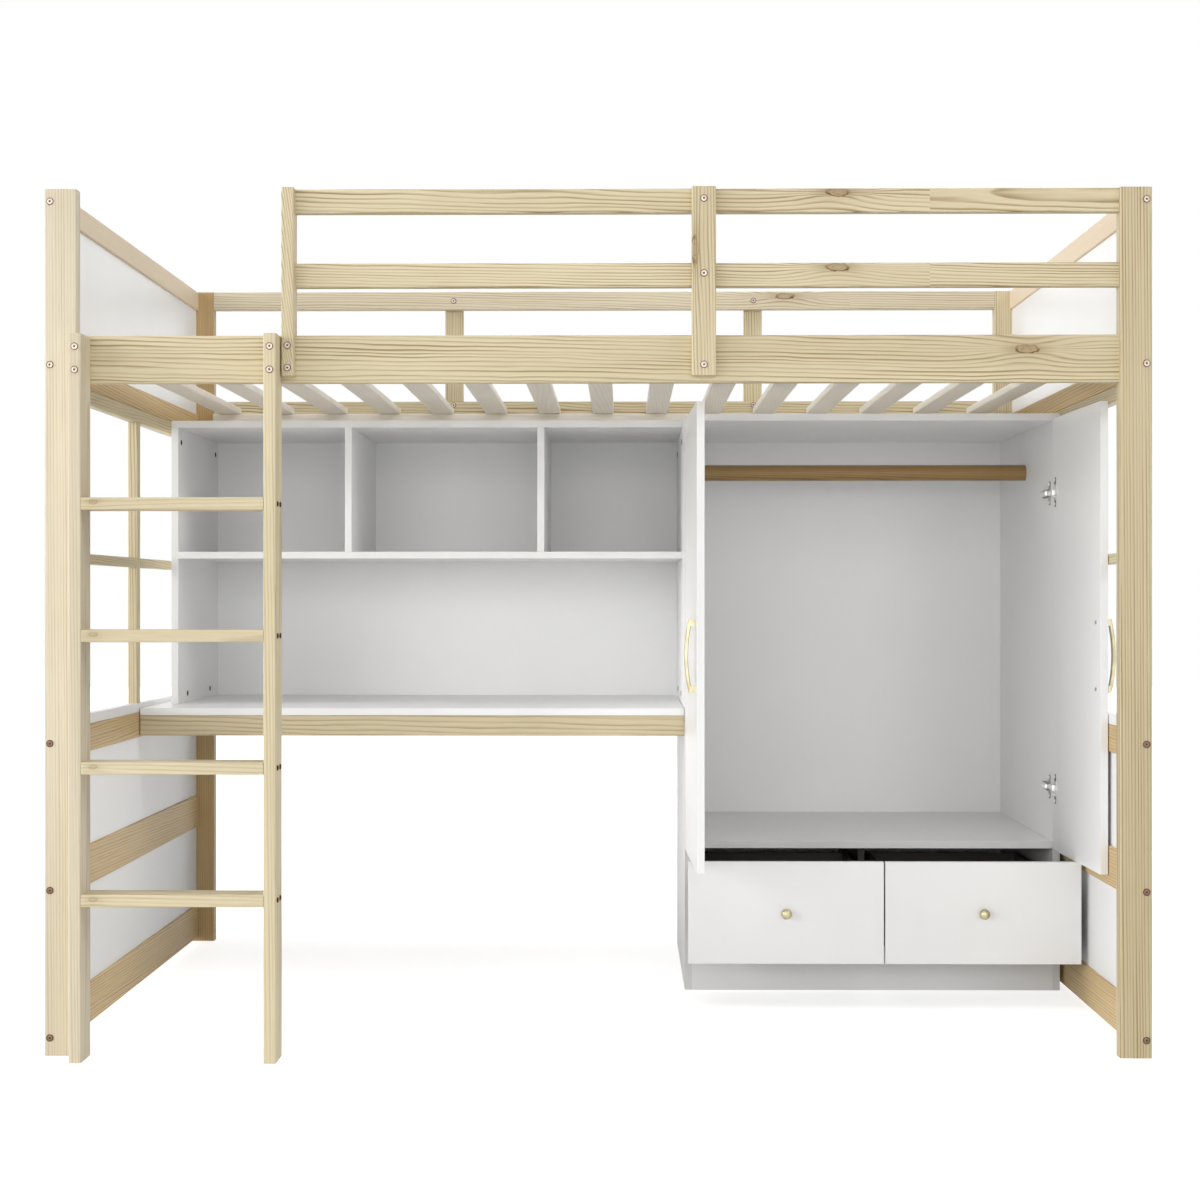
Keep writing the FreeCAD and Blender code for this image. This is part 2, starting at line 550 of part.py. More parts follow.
def hinge_arm(height):
    """Fixed half of a cup hinge: winged plate, arm, finger and the eye of the pin."""
    arm_x = (BOARD + ARM_STANDOFF, BOARD + ARM_STANDOFF + ARM_THICKNESS)
    finger_y = around(-PIVOT_OUT, ARM_FINGER / 2)
    arm_z = around(height, ARM_HALF_WIDTH)
    plate_y = (PLATE_FROM_EDGE, PLATE_FROM_EDGE + PLATE_LENGTH)
    plate = box((BOARD, BOARD + PLATE_DEPTH), plate_y, around(height, PLATE_HALF_WIDTH))
    wing_y = (plate_y[0], plate_y[0] + WING_WIDTH)
    wings = box((BOARD, BOARD + WING_THICKNESS), wing_y, around(height, WING_HALF_HEIGHT))
    arm = box(arm_x, (finger_y[0], sum(plate_y) / 2), arm_z)
    finger = box((PIVOT_IN, arm_x[1]), finger_y, arm_z)
    eye = cylinder(PIVOT + ALONG_Z * arm_z[0], ALONG_Z, EYE_RADIUS, 2 * ARM_HALF_WIDTH)
    hole = cylinder(PIVOT + ALONG_Z * arm_z[0], ALONG_Z, PIN_RADIUS + PIN_CLEARANCE, 2 * ARM_HALF_WIDTH)
    return joined(plate, wings, arm, finger, eye).cut(hole).Solids[0]


def hinge_pin(height):
    """Pin that carries the cup's two ears."""
    start = PIVOT + ALONG_Z * (height - PIN_HALF_LENGTH)
    return cylinder(start, ALONG_Z, PIN_RADIUS, 2 * PIN_HALF_LENGTH)


def hinge_pocket(height):
    """Room in the door for a hinge cup and its knuckle."""
    floor = Vector(CUP_X, POCKET_Y[0], height)
    radius = CUP_RADIUS + CUP_POCKET_CLEARANCE
    knuckle_x = (DOOR_X[0] + KNUCKLE_WALL, CUP_X)
    knuckle = box(knuckle_x, POCKET_Y, around(height, KNUCKLE_HALF_HEIGHT))
    return joined(cylinder(floor, ALONG_Y, radius, POCKET_Y[1] - POCKET_Y[0]), knuckle)


def hinge_cup(height):
    """Moving half of a cup hinge: cup, flange and the two ears around the pin."""
    floor = Vector(CUP_X, POCKET_Y[0], height)
    depth = POCKET_Y[1] - POCKET_Y[0]
    bowl = cylinder(floor + ALONG_Y * CUP_WALL, ALONG_Y, CUP_RADIUS - CUP_WALL, depth + FLANGE_THICKNESS)
    flange_y = (POCKET_Y[1], POCKET_Y[1] + FLANGE_THICKNESS)
    flange = box(around(CUP_X, FLANGE_HALF_WIDTH), flange_y, around(height, FLANGE_HALF_HEIGHT))
    shell = joined(cylinder(floor, ALONG_Y, CUP_RADIUS, depth), flange).cut(bowl)

    ear_x = (DOOR_X[0] + KNUCKLE_WALL + CUP_POCKET_CLEARANCE, CUP_X - CUP_RADIUS + EAR_OVERLAP)
    ear_y = (POCKET_Y[0], -PIVOT_OUT + EAR_THICKNESS)
    upper = box(ear_x, ear_y, (height + EAR_INNER, height + EAR_INNER + EAR_THICKNESS))
    lower = box(ear_x, ear_y, (height - EAR_INNER - EAR_THICKNESS, height - EAR_INNER))
    slot_y = (POCKET_Y[0], flange_y[1])
    slot = box((0, CUP_X), slot_y, around(height, SLOT_HALF_HEIGHT))
    bore = cylinder(PIVOT + ALONG_Z * (height - KNUCKLE_HALF_HEIGHT), ALONG_Z,
                    PIN_RADIUS + PIN_CLEARANCE, 2 * KNUCKLE_HALF_HEIGHT)
    return joined(shell, upper, lower).cut(slot).cut(bore).Solids[0]


def bow_handle():
    """Bow handle on two feet, on the closed door's outer face."""
    outer = HANDLE_LENGTH / 2
    inner = (HANDLE_HOLE_SPACING - HANDLE_FOOT) / 2
    inner_reach = HANDLE_FOOT_REACH - HANDLE_BAR

    def point(out, up):
        return Vector(HANDLE_X - HANDLE_WIDTH / 2, DOOR_Y[0] - out, HANDLE_HEIGHT + up)

    def line(start, end):
        return Part.LineSegment(start, end).toShape()

    def arc(reach, peak, half):
        return Part.Arc(point(reach, -half), point(peak, 0), point(reach, half)).toShape()

    outline = Part.Wire(Part.__sortEdges__([
        line(point(0, -outer), point(HANDLE_FOOT_REACH, -outer)),
        arc(HANDLE_FOOT_REACH, HANDLE_PROJECTION, outer),
        line(point(HANDLE_FOOT_REACH, outer), point(0, outer)),
        line(point(0, outer), point(0, inner)),
        line(point(0, inner), point(inner_reach, inner)),
        arc(inner_reach, HANDLE_PROJECTION - HANDLE_THICKNESS, inner),
        line(point(inner_reach, -inner), point(0, -inner)),
        line(point(0, -inner), point(0, -outer)),
    ]))
    bow = Part.Face(outline).extrude(ALONG_X * HANDLE_WIDTH)
    long_edges = [edge for edge in bow.Edges if isinstance(edge.Curve, Part.Circle)]
    return bow.makeFillet(HANDLE_EDGE, long_edges).Solids[0]


def make_door(side):
    """One door with its handle, handle screws and hinges."""
    door = board(DOOR_X, DOOR_Y, DOOR_Z)
    for height in HINGE_HEIGHTS:
        door = door.cut(hinge_pocket(height))
        add(f"hinge_cups_{side}", hung(hinge_cup(height), side))
        add("hinge_arms", fitted(hinge_arm(height), side), fitted(hinge_pin(height), side))
    add(f"door_handle_{side}", hung(bow_handle(), side))
    for z in around(HANDLE_HEIGHT, HANDLE_HOLE_SPACING / 2):
        start = Vector(HANDLE_X, DOOR_Y[1], z)
        top = start + ALONG_Y * HANDLE_SCREW_HEAD_HEIGHT
        head = cylinder(top, -ALONG_Y, HANDLE_SCREW_HEAD_RADIUS, HANDLE_SCREW_HEAD_HEIGHT)
        shank = cylinder(start, -ALONG_Y, HANDLE_SCREW_RADIUS, BOARD)
        add(f"door_handle_{side}", hung(joined(head, shank), side))
        door = door.cut(cylinder(start, -ALONG_Y, HANDLE_SCREW_RADIUS + HANDLE_SCREW_CLEARANCE, BOARD))
    add(f"door_{side}", hung(door.Solids[0], side))


def knob(foot):
    """Round knob that stands out from a point on a drawer front."""
    out = -ALONG_Y
    base = cylinder(foot, out, KNOB_FOOT_RADIUS, KNOB_FOOT_HEIGHT)
    neck = cylinder(foot, out, KNOB_NECK_RADIUS, KNOB_PROJECTION - KNOB_HEAD_HEIGHT)
    head_start = foot + out * (KNOB_PROJECTION - KNOB_HEAD_HEIGHT)
    head = cylinder(head_start, out, KNOB_RADIUS, KNOB_HEAD_HEIGHT)
    rims = [edge for edge in head.Edges if edge.isClosed()]
    return joined(base, neck, head.makeFillet(KNOB_EDGE, rims))


def make_drawer(side):
    """One drawer, pulled out, with its knob and its runners."""
    walls = (WARDROBE_LEFT + BOARD, WARDROBE_MIDDLE - BOARD / 2)
    front_x = (WARDROBE_LEFT + FRONT_EDGE_GAP, WARDROBE_MIDDLE - FRONT_MIDDLE_GAP / 2)
    front_back = CABINET_FRONT - FRONT_GAP - DRAWER_OPEN
    front_y = (front_back - BOARD, front_back)
    add(f"drawer_front_{side}", handed(board(front_x, front_y, DRAWER_FRONT_Z), side))
    knob_foot = Vector(sum(front_x) / 2, front_y[0], sum(DRAWER_FRONT_Z) / 2)
    add(f"drawer_knob_{side}", handed(knob(knob_foot), side))

    box_x = (walls[0] + RUNNER_SIDE_GAP, walls[1] - RUNNER_SIDE_GAP)
    inner = (box_x[0] + DRAWER_SIDE, box_x[1] - DRAWER_SIDE)
    box_y = (front_back, front_back + DRAWER_BOX_DEPTH)
    inner_y = (front_back, box_y[1] - DRAWER_SIDE)
    base = RUNNER_BASE + RUNNER_SHEET + RUNNER_CLEARANCE
    box_z = (base, base + DRAWER_BOX_HEIGHT)
    bottom_z = (base + DRAWER_BOTTOM_LIFT, base + DRAWER_BOTTOM_LIFT + DRAWER_BOTTOM)
    name = f"drawer_box_{side}"
    add(name, handed(board((box_x[0], inner[0]), box_y, box_z), side))
    add(name, handed(board((inner[1], box_x[1]), box_y, box_z), side))
    add(name, handed(board(inner, (inner_y[1], box_y[1]), box_z), side))
    add(name, handed(board(inner, inner_y, bottom_z), side))

    runner_y = (CABINET_FRONT, CABINET_FRONT + DRAWER_BOX_DEPTH)
    shelf_z = (RUNNER_BASE, RUNNER_BASE + RUNNER_SHEET)
    wall_z = (RUNNER_BASE, RUNNER_BASE + RUNNER_WALL_HEIGHT)
    for wall, inwards in ((walls[0], 1), (walls[1], -1)):
        shelf_x = sorted((wall, wall + inwards * RUNNER_SHELF))
        sheet_x = sorted((wall, wall + inwards * RUNNER_SHEET))
        runner = joined(box(shelf_x, runner_y, shelf_z), box(sheet_x, runner_y, wall_z))
        add("drawer_runners", handed(runner, side))


def fasten_end_rails():
    """Bolts through the posts into the ends of the end rails."""
    for side in SIDES:
        x = sum(inward(side, 0, END_RAIL_THICKNESS)) / 2
        rows = (
            (f"end_top_rail_{side}", sum(TOP_RAIL_Z) / 2),
            (f"end_bed_rail_{side}", sum(BED_RAIL_Z) / 2),
            (f"end_lower_rails_{side}", DESK_RAIL_Z[1] - BOLT_FROM_RAIL_EDGE),
            (f"end_lower_rails_{side}", MIDDLE_RAIL_Z[0] + BOLT_FROM_RAIL_EDGE),
            (f"end_lower_rails_{side}", BOTTOM_RAIL_Z[0] + BOLT_FROM_RAIL_EDGE),
        )
        for rail, z in rows:
            bolt(Vector(x, FRONT, z), ALONG_Y, POST_DEPTH + BOLT_GRIP, (f"post_front_{side}", rail))
            bolt(Vector(x, BACK, z), -ALONG_Y, POST_DEPTH + BOLT_GRIP, (f"post_back_{side}", rail))


def fasten_side_rails():
    """Bolts through the posts into the ends of the side rails."""
    upper = SIDE_RAIL_TOP - SIDE_BOLT_DROP
    heights = (upper - SIDE_BOLT_SPACING, upper)
    for place, y in (("front", sum(FRONT_RAIL_Y) / 2), ("back", sum(BACK_RAIL_Y) / 2)):
        for z in heights:
            rail = f"side_rail_{place}"
            bolt(Vector(LEFT, y, z), ALONG_X, POST_WIDTH + BOLT_GRIP, (f"post_{place}_left", rail))
            bolt(Vector(RIGHT, y, z), -ALONG_X, POST_WIDTH + BOLT_GRIP, (f"post_{place}_right", rail))


def fasten_ladder():
    """Bolts that hold the ladder to the side rail, and the screws of its rungs."""
    leg_middles = (LADDER_LEFT + LADDER_LEG_WIDTH / 2, LADDER_RIGHT - LADDER_LEG_WIDTH / 2)
    for side, x in zip(SIDES, leg_middles):
        for rise in (LADDER_BOLT_LOW, LADDER_BOLT_HIGH):
            start = Vector(x, LADDER_FRONT, SIDE_RAIL_Z[0] + rise)
            bolt(start, ALONG_Y, LADDER_LEG_DEPTH + SCREW_BITE, (f"ladder_leg_{side}", "side_rail_front"))
    first_y = LADDER_FRONT + RUNG_SCREW_FROM_FACE
    for index in range(RUNG_COUNT):
        z = RUNG_FIRST_HEIGHT + RUNG_PITCH * index
        for y in (first_y, first_y + RUNG_SCREW_SPACING):
            length = LADDER_LEG_WIDTH + RUNG_SCREW_BITE
            screw(Vector(LADDER_LEFT, y, z), ALONG_X, length, ("ladder_leg_left", "ladder_rungs"))
            screw(Vector(LADDER_RIGHT, y, z), -ALONG_X, length, ("ladder_leg_right", "ladder_rungs"))


def fasten_guards():
    """Bolts of the guard posts."""
    for rise in (GUARD_BOLT_LOW, GUARD_BOLT_HIGH):
        start = Vector(sum(GUARD_POST_X) / 2, GUARD_POST_FRONT, SIDE_RAIL_Z[0] + rise)
        bolt(start, ALONG_Y, GUARD_POST_THICKNESS + SCREW_BITE, ("guard_post_left", "side_rail_front"))
    rows = (
        ("guard_rails", sum(GUARD_TOP_Z) / 2),
        ("guard_rails", sum(GUARD_LOWER_Z) / 2),
        ("side_rail_front", SIDE_RAIL_Z[0] + MIDDLE_GUARD_BOLT_RISE),
    )
    for rail, z in rows:
        start = Vector(MIDDLE_GUARD_X, GUARD_POST_FRONT, z)
        bolt(start, ALONG_Y, GUARD_POST_THICKNESS + SCREW_BITE, ("guard_post_middle", rail))
    back_rows = (("back_guard_rail", sum(GUARD_TOP_Z) / 2), ("side_rail_back", SIDE_RAIL_TOP - BACK_GUARD_BOLT_DROP))
    for x in around(0, BACK_GUARD_POST_SPACING / 2):
        for rail, z in back_rows:
            start = Vector(x, BACK_RAIL_Y[0], z)
            bolt(start, ALONG_Y, RAIL_THICKNESS + SCREW_BITE, (rail, "back_guard_posts"))


def main():
    """Build every node and write it to its own file."""
    make_posts()
    make_bed_base()
    make_guards()
    make_ladder()
    make_desk()
    make_hutch()
    make_wardrobe()
    for side in SIDES:
        make_end_frame(side)
        make_door(side)
        make_drawer(side)
    fasten_end_rails()
    fasten_side_rails()
    fasten_ladder()
    fasten_guards()
    os.makedirs("parts", exist_ok=True)
    for name, solids in nodes.items():
        shape = solids[0] if len(solids) == 1 else Part.makeCompound(solids)
        shape.exportStep(f"parts/{name}.step")
        print(name, len(solids), "solids,", round(shape.Volume / 1000.0), "cm3, valid", shape.isValid())


if __name__ == "__main__":
    main()
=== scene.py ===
"""Looks of the loft bed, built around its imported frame.

Lengths are metres in the frame's own axes: +X along the bed from the ladder end to the
wardrobe end, +Y from the ladder side to the back, +Z up.
"""

import json
import logging
import math
import zlib
from dataclasses import dataclass, replace
from enum import Enum
from typing import Any, Optional, Sequence, Union

import bmesh
import bpy
from mathutils import Matrix, Vector

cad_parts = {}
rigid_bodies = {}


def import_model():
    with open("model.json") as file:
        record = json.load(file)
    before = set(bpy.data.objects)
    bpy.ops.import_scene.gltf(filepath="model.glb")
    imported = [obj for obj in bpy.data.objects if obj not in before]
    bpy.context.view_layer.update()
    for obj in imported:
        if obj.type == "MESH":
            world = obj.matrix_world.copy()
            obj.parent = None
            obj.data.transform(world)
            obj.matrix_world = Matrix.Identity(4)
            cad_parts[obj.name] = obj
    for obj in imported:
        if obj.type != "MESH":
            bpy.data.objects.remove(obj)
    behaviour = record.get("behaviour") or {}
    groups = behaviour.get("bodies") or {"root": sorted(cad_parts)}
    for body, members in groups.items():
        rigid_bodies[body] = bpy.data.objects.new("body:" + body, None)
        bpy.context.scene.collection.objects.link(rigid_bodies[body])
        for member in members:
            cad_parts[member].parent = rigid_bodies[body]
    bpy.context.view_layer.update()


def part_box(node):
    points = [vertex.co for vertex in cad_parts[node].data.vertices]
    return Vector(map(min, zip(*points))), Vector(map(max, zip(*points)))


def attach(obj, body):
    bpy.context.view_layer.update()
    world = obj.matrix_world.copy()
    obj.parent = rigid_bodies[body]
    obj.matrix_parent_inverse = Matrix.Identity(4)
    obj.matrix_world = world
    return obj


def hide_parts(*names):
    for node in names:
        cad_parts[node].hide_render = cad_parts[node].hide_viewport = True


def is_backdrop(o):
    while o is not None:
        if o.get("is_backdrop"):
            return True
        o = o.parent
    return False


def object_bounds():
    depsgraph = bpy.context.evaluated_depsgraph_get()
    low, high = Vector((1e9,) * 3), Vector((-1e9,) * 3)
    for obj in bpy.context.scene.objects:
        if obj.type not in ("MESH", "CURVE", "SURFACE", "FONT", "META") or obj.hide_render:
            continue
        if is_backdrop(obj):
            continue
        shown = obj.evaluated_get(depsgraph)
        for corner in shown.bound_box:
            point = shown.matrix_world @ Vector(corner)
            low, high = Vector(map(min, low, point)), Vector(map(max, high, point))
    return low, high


log = logging.getLogger("loft_bed")

MILLIMETRE = 0.001
WELD = 0.00001
NEARBY = 0.0001
WHITE = (1.0, 1.0, 1.0, 1.0)

Node = bpy.types.Node
Socket = bpy.types.NodeSocket
Colour = tuple[float, float, float, float]
Value = Union[Socket, float, str, Sequence[float], None]
Profile = Sequence[tuple[float, float]]

VECTOR = "NodeSocketVector"
FLOAT = "NodeSocketFloat"
GEOMETRY = "NodeSocketGeometry"
MATERIAL = "NodeSocketMaterial"
INTEGER = "NodeSocketInt"
OBJECT = "NodeSocketObject"


def srgb(red: int, green: int, blue: int) -> Colour:
    """Turn display values into a linear colour.

    Args:
        red: Red from 0 to 255.
        green: Green from 0 to 255.
        blue: Blue from 0 to 255.

    Returns:
        The colour as the shader sockets take it.
    """
    channels = (value / 255.0 for value in (red, green, blue))
    linear = [c / 12.92 if c <= 0.04045 else ((c + 0.055) / 1.055) ** 2.4 for c in channels]
    return (linear[0], linear[1], linear[2], 1.0)


def chance(name: str, index: int) -> float:
    """Pick a fixed value from 0 to 1 for a piece, the same at each run.

    Args:
        name: The piece's name.
        index: Which of the piece's values is wanted.

    Returns:
        The value.
    """
    return zlib.crc32(f"{name} {index}".encode()) % 1000 / 999.0


class Side(Enum):
    """End of the bed, and the wardrobe half nearest to it."""

    LEFT = "left"
    RIGHT = "right"

    @property
    def inward(self) -> float:
        """Sign of X from this side towards the middle."""
        return 1.0 if self is Side.LEFT else -1.0


class Axis(Enum):
    """Direction of a board's grain, as the order of its length, thickness and width."""

    X = (0, 1, 2)
    Y = (1, 0, 2)
    Z = (2, 1, 0)


class Drive(Enum):
    """Recess in the top of a bolt or screw head."""

    PLAIN = "plain"
    HEX = "hex"
    CROSS = "cross"


class Graph:
    """Node tree that is filled in few words."""

    def __init__(self, tree: bpy.types.NodeTree) -> None:
        """Take hold of a tree."""
        self.tree = tree

    def feed(self, socket: Socket, value: Value) -> None:
        """Link or set one input.

        Args:
            socket: The input.
            value: An output to link, a plain value, or None to keep the default.
        """
        if isinstance(value, Socket):
            self.tree.links.new(value, socket)
        elif value is not None:
            socket.default_value = value

    def node(self, kind: str, *values: Value, **settings: Any) -> Node:
        """Add a node.

        Args:
            kind: The node's type.
            values: What its inputs take, in order.
            settings: Properties that are set before the inputs.

        Returns:
            The new node.
        """
        made = self.tree.nodes.new(kind)
        for name, setting in settings.items():
            setattr(made, name, setting)
        for socket, value in zip(made.inputs, values):
            self.feed(socket, value)
        return made

    def math(self, operation: str, *values: Value) -> Socket:
        """Add a sum on values and return its result."""
        return self.node("ShaderNodeMath", *values, operation=operation).outputs[0]

    def vector(self, operation: str, *values: Value) -> Socket:
        """Add a sum on vectors and return its vector."""
        return self.node("ShaderNodeVectorMath", *values, operation=operation).outputs[0]

    def split(self, vector: Value) -> list[Socket]:
        """Return the three parts of a vector."""
        return list(self.node("ShaderNodeSeparateXYZ", vector).outputs)

    def gather(self, *parts: Value) -> Socket:
        """Return a vector of three parts."""
        return self.node("ShaderNodeCombineXYZ", *parts).outputs[0]

    def noise(self, vector: Value, stretch: Sequence[float], detail: float = 2.0) -> Socket:
        """Add a cloudy pattern.

        Args:
            vector: Where the pattern is read.
            stretch: Waves per metre along each axis.
            detail: How many finer layers it has.

        Returns:
            The pattern, from 0 to 1.
        """
        place = self.vector("MULTIPLY", vector, stretch)
        return self.node("ShaderNodeTexNoise", place, None, 1.0, detail).outputs[0]

    def sway(self, vector: Value, stretch: Sequence[float], detail: float = 2.0) -> Socket:
        """Add a cloudy pattern and return it around 0, as far as 0.5 either way."""
        return self.math("SUBTRACT", self.noise(vector, stretch, detail), 0.5)

    def smooth(self, value: Value, low: float, high: float, start: float = 0.0, end: float = 1.0) -> Socket:
        """Ease a value from one range into another.

        Args:
            value: The value.
            low: Where the change begins.
            high: Where it ends.
            start: Result at the beginning.
            end: Result at the end.

        Returns:
            The eased value.
        """
        settings = {"interpolation_type": "SMOOTHSTEP"}
        return self.node("ShaderNodeMapRange", value, low, high, start, end, **settings).outputs[0]

    def blend(self, share: Value, first: Value, second: Value) -> Socket:
        """Mix two colours.

        Args:
            share: How much of the second there is.
            first: The first colour.
            second: The second colour.

        Returns:
            The mixed colour.
        """
        values = (share, None, None, None, None, None, first, second)
        settings = {"data_type": "RGBA", "clamp_factor": True}
        return self.node("ShaderNodeMix", *values, **settings).outputs[2]

    def bump(self, shader: Node, height: Value, strength: float, depth: float) -> None:
        """Give a shader a fine relief.

        Args:
            shader: The material's Principled shader.
            height: The relief, from 0 to 1.
            strength: How much of it shows.
            depth: Its depth in metres.
        """
        relief = self.node("ShaderNodeBump", strength, depth)
        self.feed(relief.inputs["Height"], height)
        self.feed(shader.inputs["Normal"], relief.outputs[0])


class NodeGroup:
    """Node tree with named inputs and outputs, built once."""

    name: str = ""
    kind: str = ""
    inputs: dict[str, str] = {}
    outputs: dict[str, str] = {}

    def build(self, graph: Graph, source: Node, sink: Node) -> None:
        """Fill the group between its source and its sink."""
        raise NotImplementedError

    def tree(self) -> bpy.types.NodeTree:
        """Return the group, made at the first call."""
        found = bpy.data.node_groups.get(self.name)
        if found is not None:
            return found
        made = bpy.data.node_groups.new(self.name, self.kind)
        for label, kind in self.inputs.items():
            made.interface.new_socket(label, in_out="INPUT", socket_type=kind)
        for label, kind in self.outputs.items():
            made.interface.new_socket(label, in_out="OUTPUT", socket_type=kind)
        graph = Graph(made)
        self.build(graph, graph.node("NodeGroupInput"), graph.node("NodeGroupOutput"))
        return made


class ShaderGroup(NodeGroup):
    """Shader effect that several finishes share."""

    kind = "ShaderNodeTree"

    def place(self, graph: Graph, **values: Value) -> Node:
        """Put the group into a material.

        Args:
            graph: The material's tree.
            values: Inputs by name, with an underscore for each space.

        Returns:
            The group's node.
        """
        made = graph.node("ShaderNodeGroup", node_tree=self.tree())
        for label, value in values.items():
            graph.feed(made.inputs[label.replace("_", " ")], value)
        return made


class GrainGroup(ShaderGroup):
    """Year rings and fibres of a softwood board that is cut beside the heart of its log."""

    name = "Softwood grain"
    inputs = {"Vector": VECTOR, "Heart": VECTOR, "Ring Pitch": FLOAT, "Slope": FLOAT, "Wander": FLOAT,
              "Push": FLOAT}
    outputs = {"Late Wood": FLOAT, "Fibre": FLOAT, "Tone": FLOAT}

    wander_waves = (1.3, 7.0, 7.0)
    ripple_waves = (5.5, 28.0, 28.0)
    fade_waves = (2.6, 70.0, 70.0)
    fibre_waves = (16.0, 900.0, 900.0)
    tone_waves = (1.1, 9.0, 9.0)
    ripple_share = 0.3
    ring_waves = (70.0, 0.0, 0.0)
    ring_unevenness = 1.3
    late_rise = (0.4, 0.88)
    late_fall = (0.88, 1.0)
    fade_span = (0.3, 0.7)
    faintest_ring = 0.3

    def build(self, graph: Graph, source: Node, sink: Node) -> None:
        """Measure each point's distance from the heart and repeat the rings along it."""
        place = source.outputs["Vector"]
        along = graph.split(place)[0]
        off_heart = graph.vector("SUBTRACT", place, source.outputs["Heart"])
        off_heart = graph.vector("MULTIPLY", off_heart, (0, 1, 1))
        radius = graph.node("ShaderNodeVectorMath", off_heart, operation="LENGTH").outputs["Value"]
        ripple = graph.sway(place, self.ripple_waves)
        bend = graph.math("MULTIPLY_ADD", ripple, self.ripple_share, graph.sway(place, self.wander_waves))
        radius = graph.math("MULTIPLY_ADD", bend, source.outputs["Wander"], radius)
        radius = graph.math("MULTIPLY_ADD", along, source.outputs["Slope"], radius)
        radius = graph.math("ADD", radius, source.outputs["Push"])
        count = graph.math("DIVIDE", radius, source.outputs["Ring Pitch"])
        uneven = graph.sway(graph.gather(radius), self.ring_waves, 1.0)
        count = graph.math("MULTIPLY_ADD", uneven, self.ring_unevenness, count)
        phase = graph.math("FRACT", count)
        rise = graph.smooth(phase, *self.late_rise)
        fall = graph.smooth(phase, *self.late_fall, 1.0, 0.0)
        fade = graph.smooth(graph.noise(place, self.fade_waves), *self.fade_span, self.faintest_ring)
        late = graph.math("MULTIPLY", graph.math("MULTIPLY", rise, fall), fade)
        graph.feed(sink.inputs["Late Wood"], late)
        graph.feed(sink.inputs["Fibre"], graph.noise(place, self.fibre_waves))
        graph.feed(sink.inputs["Tone"], graph.noise(place, self.tone_waves))


class KnotGroup(ShaderGroup):
    """Branch knot that the rings flow around."""

    name = "Branch knot"
    inputs = {"Vector": VECTOR, "Centre": VECTOR, "Half Length": FLOAT, "Half Width": FLOAT, "Bulge": FLOAT}
    outputs = {"Push": FLOAT, "Core": FLOAT, "Rim": FLOAT, "Near": FLOAT, "Flare": FLOAT}

    ragged_waves = (90.0, 90.0, 160.0)
    raggedness = 0.9
    flow_reach = (0.06, 0.05)
    rim_width = 0.26
    upper_rim = 0.5
    upper_span = (-0.5, 0.4)
    inner_ring = 0.5
    inner_share = 0.3
    inner_width = 0.156
    core_span = (0.75, 1.15)
    flare_span = (0.9, 3.0)
    flare_narrowing = 0.45

    def build(self, graph: Graph, source: Node, sink: Node) -> None:
        """Measure the distance from the knot in knot sizes, then shape its parts by it."""
        place = source.outputs["Vector"]
        along, _, across = graph.split(graph.vector("SUBTRACT", place, source.outputs["Centre"]))
        along = graph.math("DIVIDE", along, source.outputs["Half Length"])
        across = graph.math("DIVIDE", across, source.outputs["Half Width"])
        along_square = graph.math("POWER", graph.math("ABSOLUTE", along), 2.0)
        across_square = graph.math("POWER", graph.math("ABSOLUTE", across), 2.0)
        distance = graph.math("SQRT", graph.math("ADD", along_square, across_square))
        ragged = graph.sway(place, self.ragged_waves)
        distance = graph.math("MULTIPLY_ADD", ragged, self.raggedness, distance)
        reach = graph.math("MULTIPLY", along_square, self.flow_reach[0])
        reach = graph.math("MULTIPLY_ADD", across_square, self.flow_reach[1], reach)
        near = graph.math("EXPONENT", graph.math("MULTIPLY", reach, -1.0))
        side = graph.math("MAXIMUM", graph.math("MINIMUM", across, 1.0), -1.0)
        push = graph.math("MULTIPLY", graph.math("MULTIPLY", side, near), source.outputs["Bulge"])
        off_rim = graph.math("ABSOLUTE", graph.math("SUBTRACT", distance, 1.0))
        off_ring = graph.math("ABSOLUTE", graph.math("SUBTRACT", distance, self.inner_ring))
        rim = graph.smooth(off_rim, 0.0, self.rim_width, 1.0, 0.0)
        rim = graph.math("MULTIPLY", rim, graph.smooth(across, *self.upper_span, 1.0, self.upper_rim))
        ring = graph.smooth(off_ring, 0.0, self.inner_width, self.inner_share, 0.0)
        thin = graph.math("EXPONENT", graph.math("MULTIPLY", across_square, -self.flare_narrowing))
        reach_out = graph.smooth(graph.math("ABSOLUTE", along), *self.flare_span, 1.0, 0.0)
        graph.feed(sink.inputs["Push"], graph.math("MULTIPLY", push, -1.0))
        graph.feed(sink.inputs["Core"], graph.smooth(distance, *self.core_span, 1.0, 0.0))
        graph.feed(sink.inputs["Rim"], graph.math("MAXIMUM", rim, ring))
        graph.feed(sink.inputs["Near"], near)
        graph.feed(sink.inputs["Flare"], graph.math("MULTIPLY", thin, reach_out))


class BoxGroup(ShaderGroup):
    """Mask of what lies inside a box."""

    name = "Inside a box"
    inputs = {"Vector": VECTOR, "Low": VECTOR, "High": VECTOR}
    outputs = {"Inside": FLOAT}

    def build(self, graph: Graph, source: Node, sink: Node) -> None:
        """Take the least distance to the box's six faces, which is positive inside."""
        above = graph.vector("SUBTRACT", source.outputs["Vector"], source.outputs["Low"])
        below = graph.vector("SUBTRACT", source.outputs["High"], source.outputs["Vector"])
        x, y, z = graph.split(graph.vector("MINIMUM", above, below))
        least = graph.math("MINIMUM", graph.math("MINIMUM", x, y), z)
        graph.feed(sink.inputs["Inside"], graph.math("GREATER_THAN", least, 0.0))


